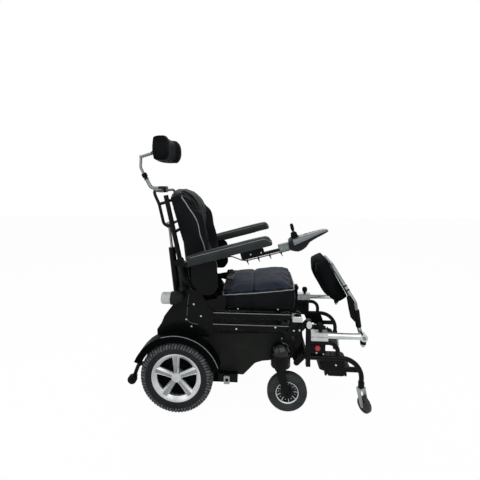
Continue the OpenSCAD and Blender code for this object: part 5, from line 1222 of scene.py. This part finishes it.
# Controller lead, tied under the arm: the route is along, outward and up in the arm's own frame
lead_d = 6
lead_route = [[565, 275, -67], [545, 275, -67], [500, 275, -67], [450, 275, -67], [400, 275, -67],
              [345, 275, -67], [320, 274, -58], [300, 271, -44], [280, 268, -32], [255, 266, -27],
              [215, 265, -26], [170, 265, -26], [120, 265, -26], [70, 265, -26], [40, 265, -26]]
tie_places, tie_z = (348, 404, 462, 518), -67


def control_lead():
    line = np.array([(l, -y, z) for l, y, z in lead_route], float)
    b = Build().add(tube(line, lead_d / 2, 12))
    lead = piece(b, "control_lead", "arm_right", [CABLE], spot=ARM)
    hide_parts("controller_cable")
    b = Build()
    for l in tie_places:
        b.add(spin([(3, -2.2), (4.4, -2.2), (4.8, -1.6), (4.8, 1.6), (4.4, 2.2), (3, 2.2)],
                   (l, -arm_y, tie_z), (1, 0, 0), 20, closed=True))
        rows = [[(l + sway + s * w, -arm_y - 1.5 + t * 1.4, tie_z - drop)
                 for s, t in ((-1, -1), (1, -1), (1, 1), (-1, 1))]
                for drop, w, sway in ((3, 4.6, 0), (7, 4.6, 0), (8, 2.4, 0), (15, 2.2, 1), (21, 1.2, 2.4))]
        b.add(prism(rows))
    ties = piece(b, "lead_ties", "arm_right", [SOFT_RUBBER], spot=ARM)
    path = ARM.out(line)
    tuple(path[0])


# Fittings on the frame
TREES, LENSES = {}, []


def slab(outline, levels, side):
    """A plate across Y from an outline in X and Z: levels are [distance out, growth of the outline]."""
    pts = np.array(outline, float)
    mid = pts.mean(0)
    rows = []
    for y, grow in levels:
        reach = np.linalg.norm(pts - mid, axis=1)[:, None]
        row = pts + (pts - mid) / reach * grow
        rows.append([(x, side * y, z) for x, z in row])
    return prism(rows)


def plate(name, body, outline, levels, side, finish, sharp=38):
    piece(Build().add(slab(outline, levels, side)), name, body, [finish], sharp=sharp)


def face_y(node, x, z, side):
    """How far out a CAD node's face lies, met along Y from outside."""
    if node not in TREES:
        TREES[node] = tree_of(CAD[node])
    hit = TREES[node].ray_cast(Vector(CHAIR.out((x, side * 400, z))), Vector((0, -side, 0)))[0]
    return CHAIR.back(np.array(hit))[1]


BOLT_HEAD = ((0, 3.4), (1.8, 3.2), (3, 2.4), (3.4, 0.9), (4.6, 0.8), (4.9, 0.2), (4.9, -0.6), (0, -0.6))
BOLTS = (
    ("seat_frame", "seat", ((306, 509), (514, 511))),
    ("lower_rails", "parallel_rails", ((300, 417), (500, 432))),
    ("side_covers", "chassis", ((537, 350),)),
    ("chassis_frame", "chassis", ((592, 425), (620, 430))),
    ("carrier_frame", "carrier", ((41, 465), (68, 428), (81, 546), (118, 484))),
    ("foot_frame", "footrest", ((704, 320), (738, 314), (801, 260))),
)


def bolts(name, side):
    """Domed heads on washers, each on the face that it holds."""
    for node, body, places in BOLTS:
        b = Build()
        for x, z in places:
            b.add(spin(BOLT_HEAD, (x, face_y(node, x, z, side), z), (0, side, 0), 24))
        piece(b, "_".join((body, "bolts", name)), body, [ALLOY], sharp=30)


rail_pin, rail_half = np.array([610, 486]), 15.0
guard_r, guard_y = 226, 316
pot_x, pot_seam, pot_r, pot_cap = 527, 309, 50, 49
strut_low, strut_top, strut_y, motor_offset = (-20, 480), (-68, 945), 152, 46
link_cap, release_knob, plate_top = (663, 471), (706, 354), 223.4


def recline_motor(name, side):
    """A motor can ahead of a recline strut, with a gear block between them."""
    low = np.array([strut_low[0], side * strut_y, strut_low[1]])
    way = np.array([strut_top[0] - strut_low[0], 0, strut_top[1] - strut_low[1]])
    way = way / np.linalg.norm(way)
    ahead = np.array([way[2], 0, -way[0]])
    can = [(0, 96), (25, 96), (29, 98), (30, 102), (30, 122), (28.8, 124), (28.8, 214), (30, 216), (30, 234),
           (27, 244), (0, 247)]
    b = Build().add(spin(can, low + ahead * motor_offset, way, 40))
    b.add(prism([[low + way * h + ahead * (motor_offset * 0.75 + c * (motor_offset / 2 + grow))
                  + np.array([0, d * (18 + grow), 0]) for c, d in chamfered(0.8, 0.85)]
                 for h, grow in ((97, -3), (99, 0), (126, 0), (128, -3))]))
    piece(b, "recline_motor_" + name, "strut_tubes", [CONTROL_LOW], sharp=30)


def fittings(name, side):
    """Trim on the rails, caster pots, foot frame, covers, lamps, plates and carrier of one side, and painted
    highlight beads along the rails and mudguards.
    """
    (pin_x, pin_z), r = rail_pin, rail_half + 1
    end = [(pin_x + r * cos(t), pin_z + r * sin(t)) for t in np.linspace(-90, 90, 17)]
    end += [(582, pin_z + r), (582, pin_z - r)]
    plate("rail_end_" + name, "seat", end, [(210.8, -1), (212, 0), (232, 0), (233.4, -1)], side, ALLOY,
          30)

    sleeve = [(583, 477), (586, 474), (629, 474), (633, 478), (633, 496), (629, 500), (586, 500), (583, 497)]
    b = Build().add(slab(sleeve, [(248.8, -1), (249.4, 0), (256, 0), (257.4, -1.2), (257.8, -4)], side))
    b.add(slab([(584, 475), (599, 475), (599, 499), (584, 499)], [(240.6, 0), (250, 0)], side))
    piece(b, "rail_sleeve_" + name, "chassis", [ALLOY], sharp=30)

    # Light grey beads along the rails' top edges are painted highlights.
    for body, node, x0, x1, top in (("seat", "seat_frame", 166, 574, 501),
                                    ("parallel_rails", "lower_rails", 160, 572, 440)):
        path = [(x, face_y(node, x, top - 3, side), top - 0.4) for x in np.linspace(x0, x1, 24)]
        piece(Build().add(tube(path, 1.9, 8)), body + "_edge_highlight_" + name, body, [PIPING_AND_HIGHLIGHT])

    # A light grey bead along each mudguard's outer edge is a painted highlight.
    arc = [(guard_r * cos(t), side * guard_y, axle_z + guard_r * sin(t)) for t in np.linspace(18, 108, 46)]
    piece(Build().add(tube(arc, 1.7, 8)), "guard_highlight_bead_" + name, "chassis", [PIPING_AND_HIGHLIGHT])

    pot, up = (pot_x, side * caster_y, pot_seam), (0, 0, 1)
    b = Build().add(spin([(49.6, -2), (51, -1.2), (51, 1.2), (49.6, 2)], pot, up, 60, closed=True))
    dome = [((pot_r + 0.6) * cos(t), 1.5 + pot_cap * sin(t)) for t in range(0, 91, 6)]
    b.add(spin(dome + [(0, 1)], pot, up, 60), 1)
    piece(b, "pot_cap_" + name, "chassis", [CONTROL_LOW, GLOSS])

    gusset = [(668, 300), (742, 300), (748, 312), (748, 388), (742, 397), (668, 397)]
    plate("foot_gusset_" + name, "footrest", gusset, [(251.4, -1), (252, 0), (257.4, 0), (258.4, -1)], side,
          PAINT)
    recline_motor(name, side)

    x, z = link_cap
    oval = [(x + 14 * cos(t), z + 19 * sin(t)) for t in np.linspace(0, 345, 24)]
    y = abs(face_y("foot_frame", x, z, side))
    plate("link_cap_" + name, "footrest", oval, [(y - 1, 0), (y + 3, 0), (y + 5, -1.6), (y + 5.6, -6)], side,
          ALLOY, 30)

    x, z = release_knob
    profile = [(0, 2), (8, 2), (12.4, 0.6), (13.4, -2), (12.8, -5), (13.4, -8), (12.8, -11), (13.2, -14),
               (12.1, -15)]
    b = Build().add(spin(profile, (x, face_y("foot_frame", x, z, side), z), (0, side, 0), 14))
    piece(b, "release_knob_" + name, "footrest", [RED], sharp=24)

    b = Build()
    for line in ([(281, z) for z in range(150, 336, 15)],
                 [(x, 284 - 0.256 * (x - 289)) for x in range(289, 423, 12)]):
        path = [(x, face_y("side_covers", x, z, side), z) for x, z in line]
        b.add(tube(path, [0.4] + [1.5] * (len(path) - 2) + [0.4], 8))
    piece(b, "cover_ribs_" + name, "chassis", [PLASTIC])

    lens, rear = (-24, side * 275, 590), (-1, 0, 0)
    ribs = [p for k in range(9) for p in ((29.7, 2 + 5 * k), (28.4, 4.6 + 5 * k))]
    shell = [(0, -4), (29.7, -4)] + ribs + [(27, 47.4), (20.8, 49.4), (0, 50)]
    b = Build().add(spin(shell, lens, rear, 48))
    b.add(spin([(0, 6), (24, 30), (24, 32), (0, 10)], lens, rear, 32), 1)
    LENSES.append(piece(b, "lamp_lens_" + name, "carrier", [LENS, ALLOY], sharp=30))

    b = Build()
    for x in range(744, 865, 24):
        b.add(prism([[(x + s * 4, side * y, plate_top + h) for s, h in ((-1, 0), (-0.7, 2), (0.7, 2), (1, 0))]
                     for y in (78, 80, 224, 226)]))
    piece(b, "plate_grips_" + name, "plate_" + name, [SOFT_RUBBER])

    corner = [(87, 545), (127, 562), (200, 576), (206, 592), (240, 596), (252, 572), (238, 513), (170, 531),
              (95, 500)]
    plate("seat_corner_" + name, "carrier", corner, [(233.6, -1), (234, 0), (237.4, 0), (238, -1)], side,
          PAINT)


def near_side():
    """The grey wire clipped to the near side of the back carrier, and the clamp of the controller's slide."""
    wire_y = -244.6
    line = [(58, 598), (52, 560), (48, 515), (47, 478), (54, 458), (74, 447), (104, 442)]
    b = Build().add(tube(curve([(x, wire_y, z) for x, z in line], 8), 2.6, 10))
    for x, z in ((50, 540), (47, 478)):
        b.add(spin([(2.6, -4), (4, -4), (4.4, -3), (4.4, 3), (4, 4), (2.6, 4)], (x, wire_y, z), (0.08, 0, 1),
                   16, closed=True), 1)
    piece(b, "carrier_conduit", "carrier", [CABLE, SOFT_RUBBER])
    clamp = [(347, -58), (350, -61), (436, -61), (440, -57), (440, -30), (434, -24), (353, -24), (347, -30)]
    b = Build().add(slab(clamp, [(268, -1), (271, 0), (273.8, 0), (274.6, -1)], RIGHT))
    for l, z in ((372, -43), (424, -46)):
        b.add(spin([(0, 3), (2, 2.8), (3.4, 1.8), (3.8, 0.4), (3.8, -1), (0, -1)], (l, -274.6, z),
                   (0, -1, 0), 20), 1)
    piece(b, "arm_slide_clamp", "arm_right", [SOFT_RUBBER, ALLOY], spot=ARM)


bpy.context.scene.view_settings.view_transform = "Standard"
camera()
stage()
softbox("key", (0.9, -2.0, 2.6), (0.0, 0.0, 0.6), (3.2, 2.4), 46)
softbox("fill", (-1.8, -1.6, 1.6), (0.0, 0.0, 0.5), (2.0, 2.0), 14)
softbox("rim", (-0.4, 1.6, 2.4), (0.0, 0.0, 0.7), (3.0, 1.6), 26)
dress()
control_lead()
for name, side in SIDES.items():
    drive_tyre(name, side)
    drive_rim(name, side)
    caster_wheel(name, side)
    bolts(name, side)
    fittings(name, side)
    knee_fittings(name, side)
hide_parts("lamp_lenses")
near_side()
cover = seat()
lap_belt(cover)
back()
headrest()
knee_pad()
for name, side in SIDES.items():
    arm_pad(name, side)
controller()
joystick()
